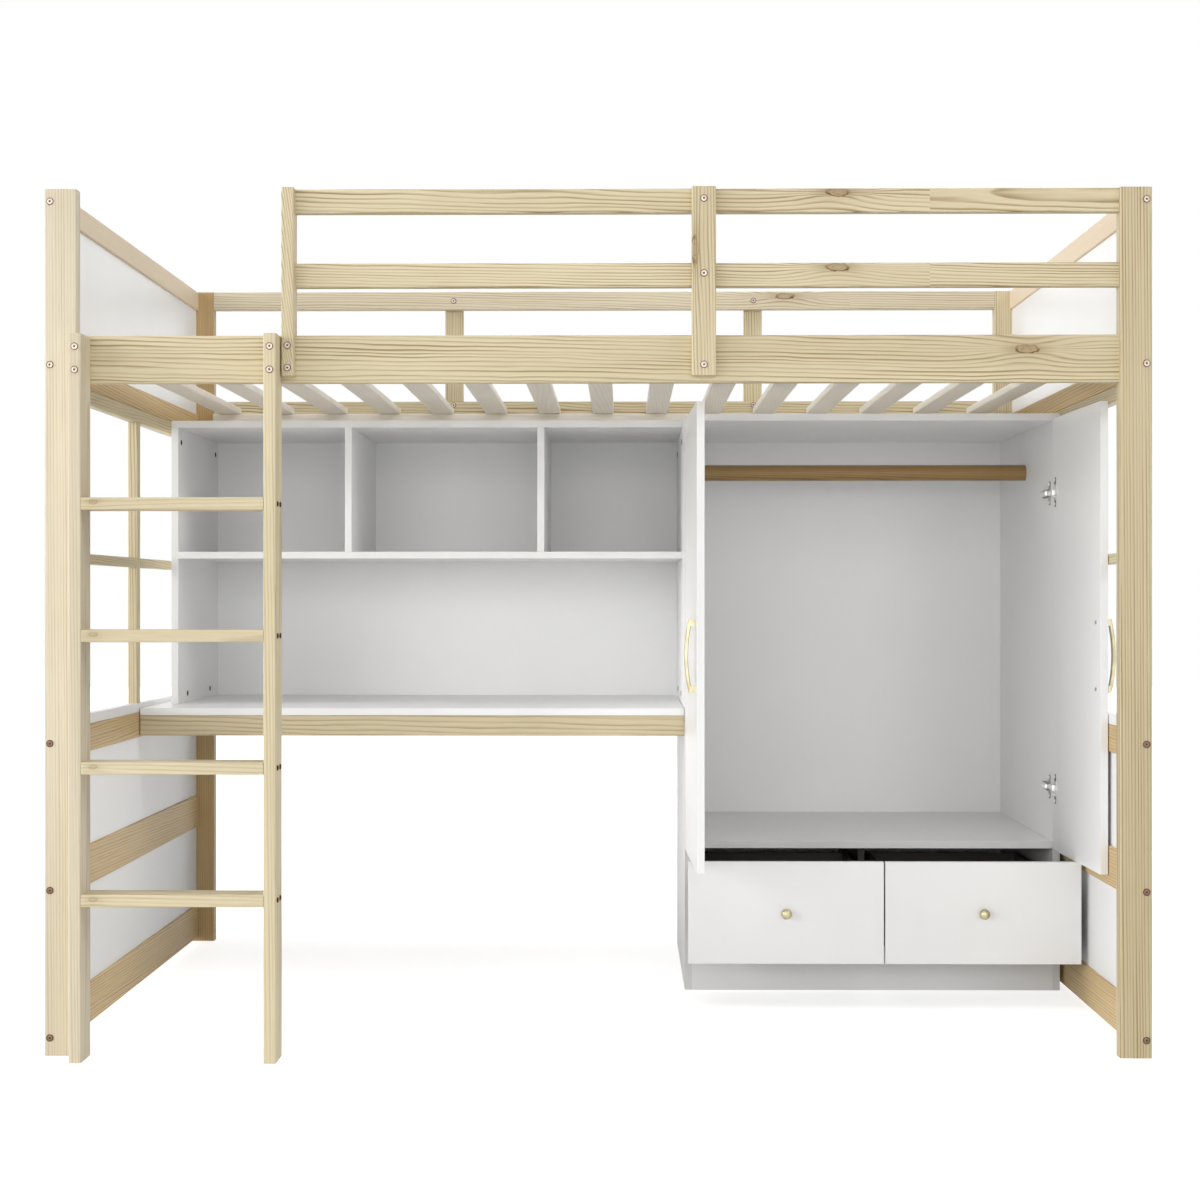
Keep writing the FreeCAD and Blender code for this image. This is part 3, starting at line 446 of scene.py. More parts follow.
class CoatGroup(ShaderGroup):
    """Fine pebbling and faint cloudiness of a sprayed or pressed surface."""

    name = "Pebbled coat"
    inputs = {"Vector": VECTOR}
    outputs = {"Cloud": FLOAT, "Speckle": FLOAT, "Pebble": FLOAT}

    cloud_waves = (4.0, 4.0, 4.0)
    cloud_detail = 3.0
    speckle_waves = (420.0, 420.0, 420.0)
    pebble_waves = (1100.0, 1100.0, 1100.0)

    def build(self, graph: Graph, source: Node, sink: Node) -> None:
        """Layer three sizes of cloudy pattern."""
        place = source.outputs["Vector"]
        graph.feed(sink.inputs["Cloud"], graph.noise(place, self.cloud_waves, self.cloud_detail))
        graph.feed(sink.inputs["Speckle"], graph.noise(place, self.speckle_waves))
        graph.feed(sink.inputs["Pebble"], graph.noise(place, self.pebble_waves))


GRAIN = GrainGroup()
KNOT = KnotGroup()
INSIDE = BoxGroup()
COAT = CoatGroup()


def new_material(name: str) -> tuple[bpy.types.Material, Graph, Node]:
    """Start a material.

    Args:
        name: The material's name.

    Returns:
        The material, its graph and its Principled shader.
    """
    material = bpy.data.materials.new(name)
    material.use_nodes = True
    shader = material.node_tree.nodes["Principled BSDF"]
    return material, Graph(material.node_tree), shader


@dataclass(frozen=True)
class Knot:
    """Knot at a place along and across a board."""

    along: float
    across: float
    length: float = 0.038
    width: float = 0.014
    bulge: float = 0.014
    darkness: float = 1.0


@dataclass(frozen=True)
class CrossGrain:
    """Box inside which a node's grain runs another way."""

    axis: Axis
    low: tuple[float, float, float]
    high: tuple[float, float, float]


@dataclass(frozen=True)
class WoodPalette:
    """Colours and surface of one kind of wood."""

    early: Colour
    late: Colour
    knot: Colour
    roughness: float
    contrast: float


PINE = WoodPalette(srgb(225, 213, 180), srgb(138, 113, 66), srgb(100, 64, 26), 0.5, 0.95)
PALE_PINE = WoodPalette(srgb(226, 217, 194), srgb(156, 132, 90), srgb(100, 64, 26), 0.5, 0.85)
ROSY_PINE = WoodPalette(srgb(236, 220, 194), srgb(194, 166, 130), srgb(100, 64, 26), 0.5, 0.7)
GOLDEN_PINE = WoodPalette(srgb(224, 197, 147), srgb(136, 102, 56), srgb(100, 64, 26), 0.5, 0.95)
SLAT_WOOD = WoodPalette(srgb(243, 237, 226), srgb(216, 206, 188), srgb(170, 150, 120), 0.6, 0.5)
ROD_WOOD = WoodPalette(srgb(172, 141, 92), srgb(116, 88, 50), srgb(90, 64, 36), 0.45, 0.9)


@dataclass(frozen=True)
class WoodFinish:
    """Finish of one board, with the grain along its length."""

    palette: WoodPalette
    along: Axis
    ring_pitch: float = 0.0056
    heart: tuple[float, float] = (0.035, -0.11)
    slope: float = 0.02
    wander: float = 0.02
    strength: float = 1.0
    knots: tuple[Knot, ...] = ()
    seam: Optional[float] = None
    cross: Optional[CrossGrain] = None
    numbered: bool = False
    shade: float = 0.05

    fibre_span = (0.25, 0.75)
    fibre_share = 0.16
    tone_span = (0.3, 0.75)
    tone_share = 0.2
    tone_lift = 0.03
    start_range = 3.0
    halo_share = 0.12
    line_share = 0.35
    streak_share = (0.5, 0.35)
    core_share = 0.2
    rough_span = (0.05, -0.08)
    late_dent = -0.6
    bump_strength = 0.5
    bump_depth = 0.00025
    specular = 0.35
    seam_shift = (0.43, 0.012, 0.031)
    number_shift = (0.61, 0.017, 0.037)

    def on(self, node: str) -> None:
        """Give a CAD node this finish."""
        paint(node, self.material(node))

    def shifted(self, graph: Graph, place: Value, shift: Sequence[float], count: Value) -> Socket:
        """Move a place by a number of shifts, so that the grain is another one there.

        Args:
            graph: The material's tree.
            place: The turned place.
            shift: One shift.
            count: How many there are.

        Returns:
            The moved place.
        """
        step = graph.vector("SCALE", shift)
        graph.feed(step.node.inputs["Scale"], count)
        return graph.vector("ADD", place, step)

    def turned(self, graph: Graph, place: Value, axis: Axis) -> Socket:
        """Turn a place into length, thickness and width.

        Args:
            graph: The material's tree.
            place: The place in the frame.
            axis: The grain's direction.

        Returns:
            The turned place.
        """
        parts = graph.split(place)
        return graph.gather(*(parts[index] for index in axis.value))

    def grain_place(self, graph: Graph) -> Socket:
        """Return where in its board a point lies, with seams and cross grain taken in."""
        place = graph.node("ShaderNodeTexCoord").outputs["Object"]
        turned = self.turned(graph, place, self.along)
        if self.cross is not None:
            inside = INSIDE.place(graph, Vector=place, Low=self.cross.low, High=self.cross.high)
            other = self.turned(graph, place, self.cross.axis)
            values = (inside.outputs[0], None, None, None, turned, other)
            turned = graph.node("ShaderNodeMix", *values, data_type="VECTOR").outputs[1]
        if self.seam is not None:
            beyond = graph.math("GREATER_THAN", graph.split(turned)[0], self.seam)
            turned = self.shifted(graph, turned, self.seam_shift, beyond)
        if self.numbered:
            number = graph.node("ShaderNodeAttribute", attribute_name=SlatRow.number).outputs["Fac"]
            turned = self.shifted(graph, turned, self.number_shift, number)
        return turned

    def material(self, node: str) -> bpy.types.Material:
        """Make the board's material.

        Args:
            node: Name of the frame's node that the board is, or that it replaces.

        Returns:
            The material.
        """
        material, graph, shader = new_material(f"{node}_wood")
        low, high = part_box(node)
        middle = [(low[index] + high[index]) / 2 for index in self.along.value]
        turn = 1.0 if chance(node, 0) < 0.5 else -1.0
        heart = (0.0, middle[1] + self.heart[0], middle[2] + turn * self.heart[1])
        lift = 2 * self.tone_lift * chance(node, 1) - self.tone_lift
        place = self.grain_place(graph)
        start = graph.vector("ADD", place, (self.start_range * chance(node, 2), 0.0, 0.0))

        push: Value = 0.0
        core: Value = 0.0
        rim: Value = 0.0
        near: Value = 0.0
        flare: Value = 0.0
        for knot in self.knots:
            centre = (knot.along, 0.0, knot.across)
            made = KNOT.place(graph, Vector=place, Centre=centre, Half_Length=knot.length / 2,
                              Half_Width=knot.width / 2, Bulge=-turn * knot.bulge)
            push = graph.math("ADD", push, made.outputs["Push"])
            core = graph.math("MAXIMUM", core, made.outputs["Core"])
            own_rim = graph.math("MULTIPLY", made.outputs["Rim"], knot.darkness)
            rim = graph.math("MAXIMUM", rim, own_rim)
            near = graph.math("MAXIMUM", near, made.outputs["Near"])
            own_flare = graph.math("MULTIPLY", made.outputs["Flare"], knot.darkness)
            flare = graph.math("MAXIMUM", flare, own_flare)

        grain = GRAIN.place(graph, Vector=start, Heart=heart, Ring_Pitch=self.ring_pitch,
                            Slope=turn * self.slope, Wander=self.wander, Push=push)
        late = graph.math("MULTIPLY", grain.outputs["Late Wood"], self.palette.contrast * self.strength)
        colour = graph.blend(late, self.palette.early, self.palette.late)
        colour = graph.blend(self.shade, colour, self.palette.late)
        fibre = graph.smooth(grain.outputs["Fibre"], *self.fibre_span, 0.0, self.fibre_share)
        colour = graph.blend(fibre, colour, self.palette.late)
        tone = graph.smooth(grain.outputs["Tone"], *self.tone_span, 0.0, self.tone_share + lift)
        colour = graph.blend(tone, colour, self.palette.late)
        if self.knots:
            halo = graph.math("MULTIPLY", near, self.halo_share)
            colour = graph.blend(halo, colour, self.palette.late)
            lines = graph.math("MULTIPLY", graph.math("MULTIPLY", near, late), self.line_share)
            colour = graph.blend(lines, colour, self.palette.knot)
            streak = graph.math("MULTIPLY", flare, graph.math("MULTIPLY_ADD", late, *self.streak_share))
            colour = graph.blend(streak, colour, self.palette.late)
            colour = graph.blend(graph.math("MULTIPLY", core, self.core_share), colour, self.palette.late)
            colour = graph.blend(rim, colour, self.palette.knot)
        graph.feed(shader.inputs["Base Color"], colour)
        early_rough, late_rough = (self.palette.roughness + step for step in self.rough_span)
        graph.feed(shader.inputs["Roughness"], graph.smooth(late, 0.0, 1.0, early_rough, late_rough))
        height = graph.math("MULTIPLY_ADD", late, self.late_dent, grain.outputs["Fibre"])
        graph.bump(shader, height, self.bump_strength, self.bump_depth)
        shader.inputs["Specular IOR Level"].default_value = self.specular
        return material


@dataclass(frozen=True)
class Patch:
    """Box inside which a coat has another colour."""

    low: tuple[float, float, float]
    high: tuple[float, float, float]
    colour: Colour


@dataclass(frozen=True)
class SharedFinish:
    """Finish whose material several pieces share."""

    name: str
    colour: Colour
    shade: Colour
    roughness: float

    middle_span = (0.3, 0.7)

    def fill(self, graph: Graph, shader: Node, place: Socket) -> None:
        """Build the look on a material's shader, from the place on the piece."""
        raise NotImplementedError

    def material(self) -> bpy.types.Material:
        """Return the finish's material, made at the first call."""
        found = bpy.data.materials.get(self.name)
        if found is not None:
            return found
        material, graph, shader = new_material(self.name)
        self.fill(graph, shader, graph.node("ShaderNodeTexCoord").outputs["Object"])
        return material


@dataclass(frozen=True)
class CoatFinish(SharedFinish):
    """Even coat such as melamine, powder coat or plastic."""

    specular: float = 0.4
    patch: Optional[Patch] = None

    cloud_share = 0.35
    speckle_span = (0.45, 0.75)
    speckle_share = 0.25
    rough_step = 0.05
    bump_strength = 0.4
    pebble_depth = 0.00008

    def fill(self, graph: Graph, shader: Node, place: Socket) -> None:
        """Cloud and speckle the colour, and pebble the surface."""
        coat = COAT.place(graph, Vector=place)
        cloud = graph.smooth(coat.outputs["Cloud"], *self.middle_span, 0.0, self.cloud_share)
        speckle = graph.smooth(coat.outputs["Speckle"], *self.speckle_span, 0.0, self.speckle_share)
        colour = graph.blend(graph.math("MAXIMUM", cloud, speckle), self.colour, self.shade)
        if self.patch is not None:
            inside = INSIDE.place(graph, Vector=place, Low=self.patch.low, High=self.patch.high)
            colour = graph.blend(inside.outputs[0], colour, self.patch.colour)
        graph.feed(shader.inputs["Base Color"], colour)
        low, high = self.roughness - self.rough_step, self.roughness + self.rough_step
        rough = graph.smooth(coat.outputs["Speckle"], *self.middle_span, low, high)
        graph.feed(shader.inputs["Roughness"], rough)
        graph.bump(shader, coat.outputs["Pebble"], self.bump_strength, self.pebble_depth)
        shader.inputs["Specular IOR Level"].default_value = self.specular


@dataclass(frozen=True)
class MetalFinish(SharedFinish):
    """Plated or brushed metal, with its darker tone painted on as shade where its rim attribute says so."""

    rim: bool = False
    rubbed: float = 0.3

    rub_waves = (260.0, 260.0, 60.0)
    rub_detail = 3.0
    rub_span = (0.35, 0.8)
    rough_span = (-0.06, 0.1)
    bump_strength = 0.15
    bump_depth = 0.00004
    painted_shade_attribute = "rim"

    def fill(self, graph: Graph, shader: Node, place: Socket) -> None:
        """Rub the colour and the sheen, and paint shade on the rims."""
        rub = graph.noise(place, self.rub_waves, self.rub_detail)
        share = graph.smooth(rub, *self.rub_span, 0.0, self.rubbed)
        # Painted shade: the rim layer blends in the darker tone on head rims, socket floors and hinge plates,
        # in place of their shadows.
        if self.rim:
            edge = graph.node("ShaderNodeAttribute", attribute_name=self.painted_shade_attribute).outputs["Fac"]
            share = graph.math("MAXIMUM", share, edge)
        graph.feed(shader.inputs["Base Color"], graph.blend(share, self.colour, self.shade))
        low, high = (self.roughness + step for step in self.rough_span)
        graph.feed(shader.inputs["Roughness"], graph.smooth(rub, *self.middle_span, low, high))
        shader.inputs["Metallic"].default_value = 1.0
        graph.bump(shader, rub, self.bump_strength, self.bump_depth)


WHITE_COAT = CoatFinish("white_melamine", srgb(245, 245, 245), srgb(238, 238, 237), 0.42)
EDGE_BAND = srgb(229, 229, 228)
BAND_DEPTH = 0.0006
# Painted shade: the drawer fronts get a greyer copy of the white melamine, standing in for less light on
# them.
FRONT_COAT_PAINTED_SHADE = CoatFinish("drawer_front_melamine", srgb(237, 237, 237), srgb(230, 230, 230), 0.42)
# Painted shade: the drawer boxes are near black so that the gap over the drawers reads as shadow.
DRAWER_BOARD_PAINTED_SHADE = CoatFinish("dark_drawer_board", srgb(92, 88, 82), srgb(80, 76, 71), 0.6)
RUNNER_COAT = CoatFinish("runner_powder_coat", srgb(226, 226, 224), srgb(212, 212, 210), 0.5)
BROWN_CAP = CoatFinish("brown_cap_plastic", srgb(66, 34, 16), srgb(50, 25, 11), 0.7, specular=0.05)
BRASS = MetalFinish("satin_champagne_brass", srgb(182, 174, 144), srgb(138, 127, 94), 0.4)
# Finishes with True below take painted shade from the rim layer.
NICKEL = MetalFinish("nickel_plate", srgb(250, 250, 248), srgb(112, 112, 110), 0.42, True, 0.1)
COPPER_BOLT = MetalFinish("copper_plated_bolt", srgb(198, 184, 174), srgb(98, 78, 64), 0.5, True)
DARK_BOLT = MetalFinish("dark_bronze_bolt", srgb(122, 98, 84), srgb(70, 54, 46), 0.42, True)
BROWN_SCREW = MetalFinish("brown_plated_screw", srgb(92, 60, 38), srgb(58, 38, 25), 0.55, True)


def banded(name: str, node: str) -> bpy.types.Material:
    """Make white melamine with a greyer band on its front edges.

    Args:
        name: The material's name.
        node: A board whose front is the plane of the bands.

    Returns:
        The material.
    """
    low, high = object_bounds()
    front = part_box(node)[0].y
    band = Patch((low.x, front - BAND_DEPTH, low.z), (high.x, front + BAND_DEPTH, high.z), EDGE_BAND)
    return replace(WHITE_COAT, name=name, patch=band).material()


def paint(node: str, finish: bpy.types.Material) -> None:
    """Give a CAD node its finish.

    Args:
        node: The node's name.
        finish: The material for all of its slots.
    """
    piece = bpy.data.objects[node]
    if not piece.material_slots:
        piece.data.materials.append(finish)
    for slot in piece.material_slots:
        slot.material = finish
    log.info("node %s has finish %s", node, finish.name)


def hand_over(piece: bpy.types.Object, body: str, slot: str, *replaced: str) -> None:
    """Attach a finished piece to its body and hide the nodes that it stands for.

    Args:
        piece: The piece.
        body: The body that it rides on.
        slot: The record's material slot; not used.
        replaced: Nodes that it stands for.
    """
    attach(piece, body)
    if replaced:
        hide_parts(*replaced)
    log.info("piece %s rides on %s", piece.name, body)


def add_object(name: str, mesh: bpy.types.Mesh) -> bpy.types.Object:
    """Put a mesh into the scene and return its object."""
    made = bpy.data.objects.new(name, mesh)
    bpy.context.scene.collection.objects.link(made)
    return made


def solids_of(node: str) -> list[list[Vector]]:
    """Find the separate solids of a node.

    Args:
        node: The node's name.

    Returns:
        The corner points of each solid.
    """
    welded = bmesh.new()
    welded.from_mesh(bpy.data.objects[node].data)
    bmesh.ops.remove_doubles(welded, verts=welded.verts, dist=WELD)
    unseen = set(welded.verts)
    solids = []
    while unseen:
        front = [unseen.pop()]
        points = []
        while front:
            vertex = front.pop()
            points.append(vertex.co.copy())
            linked = {edge.other_vert(vertex) for edge in vertex.link_edges} & unseen
            unseen -= linked
            front.extend(linked)
        solids.append(points)
    welded.free()
    return sorted(solids, key=lambda points: tuple(round(sum(p[i] for p in points), 4) for i in range(3)))


def extent(points: Sequence[Vector]) -> tuple[Vector, Vector]:
    """Return the lowest and highest corner of some points."""
    low = Vector(min(point[i] for point in points) for i in range(3))
    high = Vector(max(point[i] for point in points) for i in range(3))
    return low, high


class Maker:
    """Collects plates, turned shapes and blocks into one mesh, in millimetres."""

    def __init__(self) -> None:
        """Start with nothing but a layer that marks painted shade on heads and plates."""
        self.mesh = bmesh.new()
        self.rim = self.mesh.verts.layers.float.new(MetalFinish.painted_shade_attribute)

    def close(self, new: Sequence[bmesh.types.BMVert], place: Matrix) -> None:
        """Move new points to their place and turn their faces outwards.

        Args:
            new: Points that were just made.
            place: Where they go.
        """
        bmesh.ops.transform(self.mesh, matrix=place, verts=list(new))
        faces = {face for vertex in new for face in vertex.link_faces}
        bmesh.ops.recalc_face_normals(self.mesh, faces=list(faces))

    def plate(self, outline: Profile, low: float, high: float, place: Matrix, ease: float = 0.0,
              dark: float = 0.0) -> None:
        """Add a plate with an outline in local X and Y.

        Args:
            outline: Corners in order.
            low: Local Z of one face.
            high: Local Z of the other.
            place: Where the plate goes.
            ease: Size of the rounded edges.
            dark: How much painted shade the plate gets on its rim layer.
        """
        ring = [self.mesh.verts.new((x, y, low)) for x, y in outline]
        face = self.mesh.faces.new(ring)
        raised = bmesh.ops.extrude_face_region(self.mesh, geom=[face])["geom"]
        top = [item for item in raised if isinstance(item, bmesh.types.BMVert)]
        bmesh.ops.translate(self.mesh, verts=top, vec=(0, 0, high - low))
        new = ring + top
        if ease > 0.0:
            edges = {edge for vertex in new for edge in vertex.link_edges}
            flat = {e for e in edges if abs(e.verts[0].co.z - e.verts[1].co.z) < WELD}
            done = bmesh.ops.bevel(self.mesh, geom=list(flat), offset=ease, segments=2, profile=0.5,
                                   affect="EDGES")
            new = list({v for v in new if v.is_valid} | set(done["verts"]))
        # Painted shade: every point of the plate takes this share of the metal's darker tone.
        for vertex in new:
            vertex[self.rim] = dark
        self.close(new, place)

    def turned(self, profile: Profile, place: Matrix, steps: int = 32, drive: Drive = Drive.PLAIN,
               socket: int = 0) -> list[list[bmesh.types.BMVert]]:
        """Add a turned shape around local Z.

        Args:
            profile: Radius and height of each ring, from the base to the middle of the top.
            place: Where the shape goes.
            steps: Corners of a ring.
            drive: Recess in the top.
            socket: How many of the last rings follow the recess.

        Returns:
            The rings of points.
        """
        rings = []
        first_socket = len(profile) - socket
        for number, (radius, height) in enumerate(profile):
            shape = drive if number >= first_socket else Drive.PLAIN
            ring = []
            for step in range(steps):
                angle = 2 * math.pi * step / steps
                reach = radius * recess_reach(shape, angle)
                ring.append(self.mesh.verts.new((reach * math.cos(angle), reach * math.sin(angle), height)))
            rings.append(ring)
        for lower, upper in zip(rings, rings[1:]):
            for step in range(steps):
                after = (step + 1) % steps
                self.mesh.faces.new((lower[step], lower[after], upper[after], upper[step]))
        self.mesh.faces.new(rings[0])
        self.mesh.faces.new(rings[-1])
        self.close([vertex for ring in rings for vertex in ring], place)
        return rings

    def finish(self, name: str, smooth_degrees: float = 40.0) -> bpy.types.Mesh:
        """Turn the collection into a mesh in metres.

        Args:
            name: The mesh's name.
            smooth_degrees: Edges flatter than this are shaded smooth.

        Returns:
            The mesh.
        """
        bmesh.ops.scale(self.mesh, vec=(MILLIMETRE,) * 3, verts=self.mesh.verts)
        for face in self.mesh.faces:
            face.smooth = True
        limit = math.radians(smooth_degrees)
        for edge in self.mesh.edges:
            edge.smooth = edge.calc_face_angle(math.pi) < limit
        made = bpy.data.meshes.new(name)
        self.mesh.to_mesh(made)
        self.mesh.free()
        return made


def recess_reach(drive: Drive, angle: float) -> float:
    """Shape of a recess.

    Args:
        drive: Kind of recess.
        angle: Direction from its middle.

    Returns:
        Distance to its wall, with 1 as the widest.
    """
    if drive is Drive.HEX:
        sector = math.pi / 3
        return math.cos(sector / 2) / math.cos(angle % sector - sector / 2)
    if drive is Drive.CROSS:
        slot = 0.32
        turn = (angle + math.pi / 4) % (math.pi / 2) - math.pi / 4
        return min(1.0 / math.cos(turn), slot / max(abs(math.sin(turn)), slot))
    return 1.0


def rounded(width: float, height: float, radius: float, steps: int = 6) -> list[tuple[float, float]]:
    """Outline of a plate with round corners.

    Args:
        width: Size along X.
        height: Size along Y.
        radius: Corner radius.
        steps: Edges in each corner.

    Returns:
        The corners in order, around the middle.
    """
    points = []
    for corner in range(4):
        start = corner * math.pi / 2
        x = (width / 2 - radius) * (1 if corner in (0, 3) else -1)
        y = (height / 2 - radius) * (1 if corner in (0, 1) else -1)
        for step in range(steps + 1):
            angle = start + math.pi / 2 * step / steps
            points.append((x + radius * math.cos(angle), y + radius * math.sin(angle)))
    return points


class GeometryTree(NodeGroup):
    """Geometry Nodes tree that is run on pieces."""

    kind = "GeometryNodeTree"
    outputs = {"Geometry": GEOMETRY}

    def end(self, graph: Graph, placed: Node, source: Node, sink: Node) -> None:
        """Make the placed instances real, give them the finish and put them out."""
        real = graph.node("GeometryNodeRealizeInstances", placed.outputs[0])
        done = graph.node("GeometryNodeSetMaterial", real.outputs[0], None, source.outputs["Finish"])
        graph.feed(sink.inputs[0], done.outputs[0])

    def settle(self, name: str, mesh: bpy.types.Mesh, **values: Any) -> bpy.types.Object:
        """Run the tree on a mesh and keep the result as a plain mesh.

        Args:
            name: Name of the new piece.
            mesh: What the tree starts from.
            values: Inputs by name, with an underscore for each space.

        Returns:
            The piece.
        """
        piece = add_object(name, mesh)
        modifier = piece.modifiers.new(self.name, "NODES")
        modifier.node_group = self.tree()
        sockets = {item.name: item.identifier for item in modifier.node_group.interface.items_tree}
        for label, value in values.items():
            modifier[sockets[label.replace("_", " ")]] = value
        graph = bpy.context.evaluated_depsgraph_get()
        result = bpy.data.meshes.new_from_object(piece.evaluated_get(graph))
        piece.modifiers.clear()
        piece.data = result
        return piece


class HeadTree(GeometryTree):
    """Sets one head on every seat, facing out of the wood and turned at random."""

    name = "Heads on seats"
    facing = "facing"
    inputs = {"Seats": GEOMETRY, "Head": OBJECT, "Turn Seed": INTEGER, "Finish": MATERIAL}

    def build(self, graph: Graph, source: Node, sink: Node) -> None:
        """Align, turn and instance the head, then make it real."""
        facing = graph.node("GeometryNodeInputNamedAttribute", self.facing, data_type="FLOAT_VECTOR")
        outward = facing.outputs["Attribute"]
        align = graph.node("FunctionNodeAlignRotationToVector", None, 1.0, outward, axis="Z")
        angle = graph.node("FunctionNodeRandomValue", data_type="FLOAT")
        graph.feed(angle.inputs[3], 2 * math.pi)
        graph.feed(angle.inputs["Seed"], source.outputs["Turn Seed"])
        turn = graph.node("FunctionNodeAxisAngleToRotation", (0, 0, 1), angle.outputs[1])
        turns = (align.outputs[0], turn.outputs[0])
        both = graph.node("FunctionNodeRotateRotation", *turns, rotation_space="LOCAL")
        head = graph.node("GeometryNodeObjectInfo", source.outputs["Head"])
        placed = graph.node("GeometryNodeInstanceOnPoints", source.outputs["Seats"])
        graph.feed(placed.inputs["Instance"], head.outputs["Geometry"])
        graph.feed(placed.inputs["Rotation"], both.outputs[0])
        self.end(graph, placed, source, sink)


class SlatTree(GeometryTree):
    """Row of slats with rounded long edges, each with its own number."""

    name = "Row of slats"
    inputs = {"Start": GEOMETRY, "Count": INTEGER, "First": VECTOR, "Last": VECTOR, "Width": FLOAT,
              "Thickness": FLOAT, "Length": FLOAT, "Edge": FLOAT, "Finish": MATERIAL}
    edge_steps = 4

    def build(self, graph: Graph, source: Node, sink: Node) -> None:
        """Sweep a rounded section along one slat, then set slats along the row."""
        out = source.outputs
        section = graph.node("GeometryNodeCurvePrimitiveQuadrilateral", out["Width"], out["Thickness"])
        eased = graph.node("GeometryNodeFilletCurve", section.outputs[0], mode="POLY")
        graph.feed(eased.inputs["Radius"], out["Edge"])
        graph.feed(eased.inputs["Count"], self.edge_steps)
        half = graph.math("MULTIPLY", out["Length"], 0.5)
        start = graph.gather(0.0, graph.math("MULTIPLY", half, -1.0), 0.0)
        line = graph.node("GeometryNodeCurvePrimitiveLine", start, graph.gather(0.0, half, 0.0))
        slat = graph.node("GeometryNodeCurveToMesh", line.outputs[0], eased.outputs[0])
        graph.feed(slat.inputs["Fill Caps"], True)
        row = graph.node("GeometryNodeMeshLine", out["Count"], mode="END_POINTS")
        graph.feed(row.inputs["Start Location"], out["First"])
        graph.feed(row.inputs["Offset"], out["Last"])
        placed = graph.node("GeometryNodeInstanceOnPoints", row.outputs[0])
        graph.feed(placed.inputs["Instance"], slat.outputs[0])
        index = graph.node("GeometryNodeInputIndex").outputs[0]
        numbered = graph.node("GeometryNodeStoreNamedAttribute", placed.outputs[0], domain="INSTANCE")
        graph.feed(numbered.inputs["Name"], SlatRow.number)
        graph.feed(numbered.inputs["Value"], index)
        self.end(graph, numbered, source, sink)


@dataclass(frozen=True)
class Seat:
    """Place where a head or cap stands, and the way that it faces."""

    place: Vector
    facing: Vector


@dataclass(frozen=True)
class Head:
    """Turned head of a bolt, screw or cap, in millimetres."""

    name: str
    profile: tuple[tuple[float, float], ...]
    shaded_rim_rings: int
    drive: Drive = Drive.PLAIN
    socket: int = 0
    steps: int = 36
    shaded_socket_rings: int = 0

    def template(self) -> bpy.types.Object:
        """Make one head around local Z, with painted shade marked on its rim rings and socket floor."""
        maker = Maker()
        rings = maker.turned(self.profile, Matrix.Identity(4), self.steps, self.drive, self.socket)
        # Painted shade: the base rings stand in for the shadow around the head, the last rings for the shadow
        # in its socket.
        for ring in rings[:self.shaded_rim_rings] + rings[len(rings) - self.shaded_socket_rings:]:
            for vertex in ring:
                vertex[maker.rim] = 1.0
        return add_object(self.name, maker.finish(self.name))

    def set_on(self, name: str, seats: Sequence[Seat], finish: bpy.types.Material) -> bpy.types.Object:
        """Set heads on seats.

        Args:
            name: Name of the piece that holds all of them.
            seats: Where they go.
            finish: Their material.

        Returns:
            The piece.
        """
        mesh = bpy.data.meshes.new(name)
        mesh.from_pydata([seat.place for seat in seats], [], [])
        facing = mesh.attributes.new(HeadTree.facing, "FLOAT_VECTOR", "POINT")
        for item, seat in zip(facing.data, seats):
            item.vector = seat.facing
        template = self.template()
        piece = HeadTree().settle(name, mesh, Head=template, Turn_Seed=len(seats), Finish=finish)
        bpy.data.objects.remove(template)
        return piece


# Bolt heads take painted shade on their four base rings and the two rings of the socket floor; screw heads on
# their two base rings.
BOLT_HEAD = Head(
    "bolt_head",
    ((6.5, 0.0), (6.5, 0.8), (6.2, 1.2), (5.5, 1.5), (4.9, 1.4), (4.7, 1.0), (4.4, 1.05),
     (3.6, 1.3), (2.5, 1.4), (2.3, 1.3), (2.2, 0.3), (0.4, 0.2)),
    4, Drive.HEX, 3, shaded_socket_rings=2)
SCREW_HEAD = Head(
    "screw_head",
    ((4.8, 0.0), (4.8, 0.9), (4.3, 1.8), (3.3, 2.4), (2.7, 2.4), (1.9, 1.2), (0.3, 1.0)),
    2, Drive.CROSS, 3)
CAP = Head("cap", ((6.0, 0.0), (6.0, 0.4), (5.6, 0.7), (4.6, 0.8), (4.0, 0.6), (0.5, 0.62)), 0)
PLATE_SCREW = ((3.6, 0.0), (3.6, 0.5), (3.0, 1.2), (2.2, 1.5), (1.9, 1.5), (1.5, 0.5), (0.3, 0.4))
PLATE_SCREW_SOCKET = 3


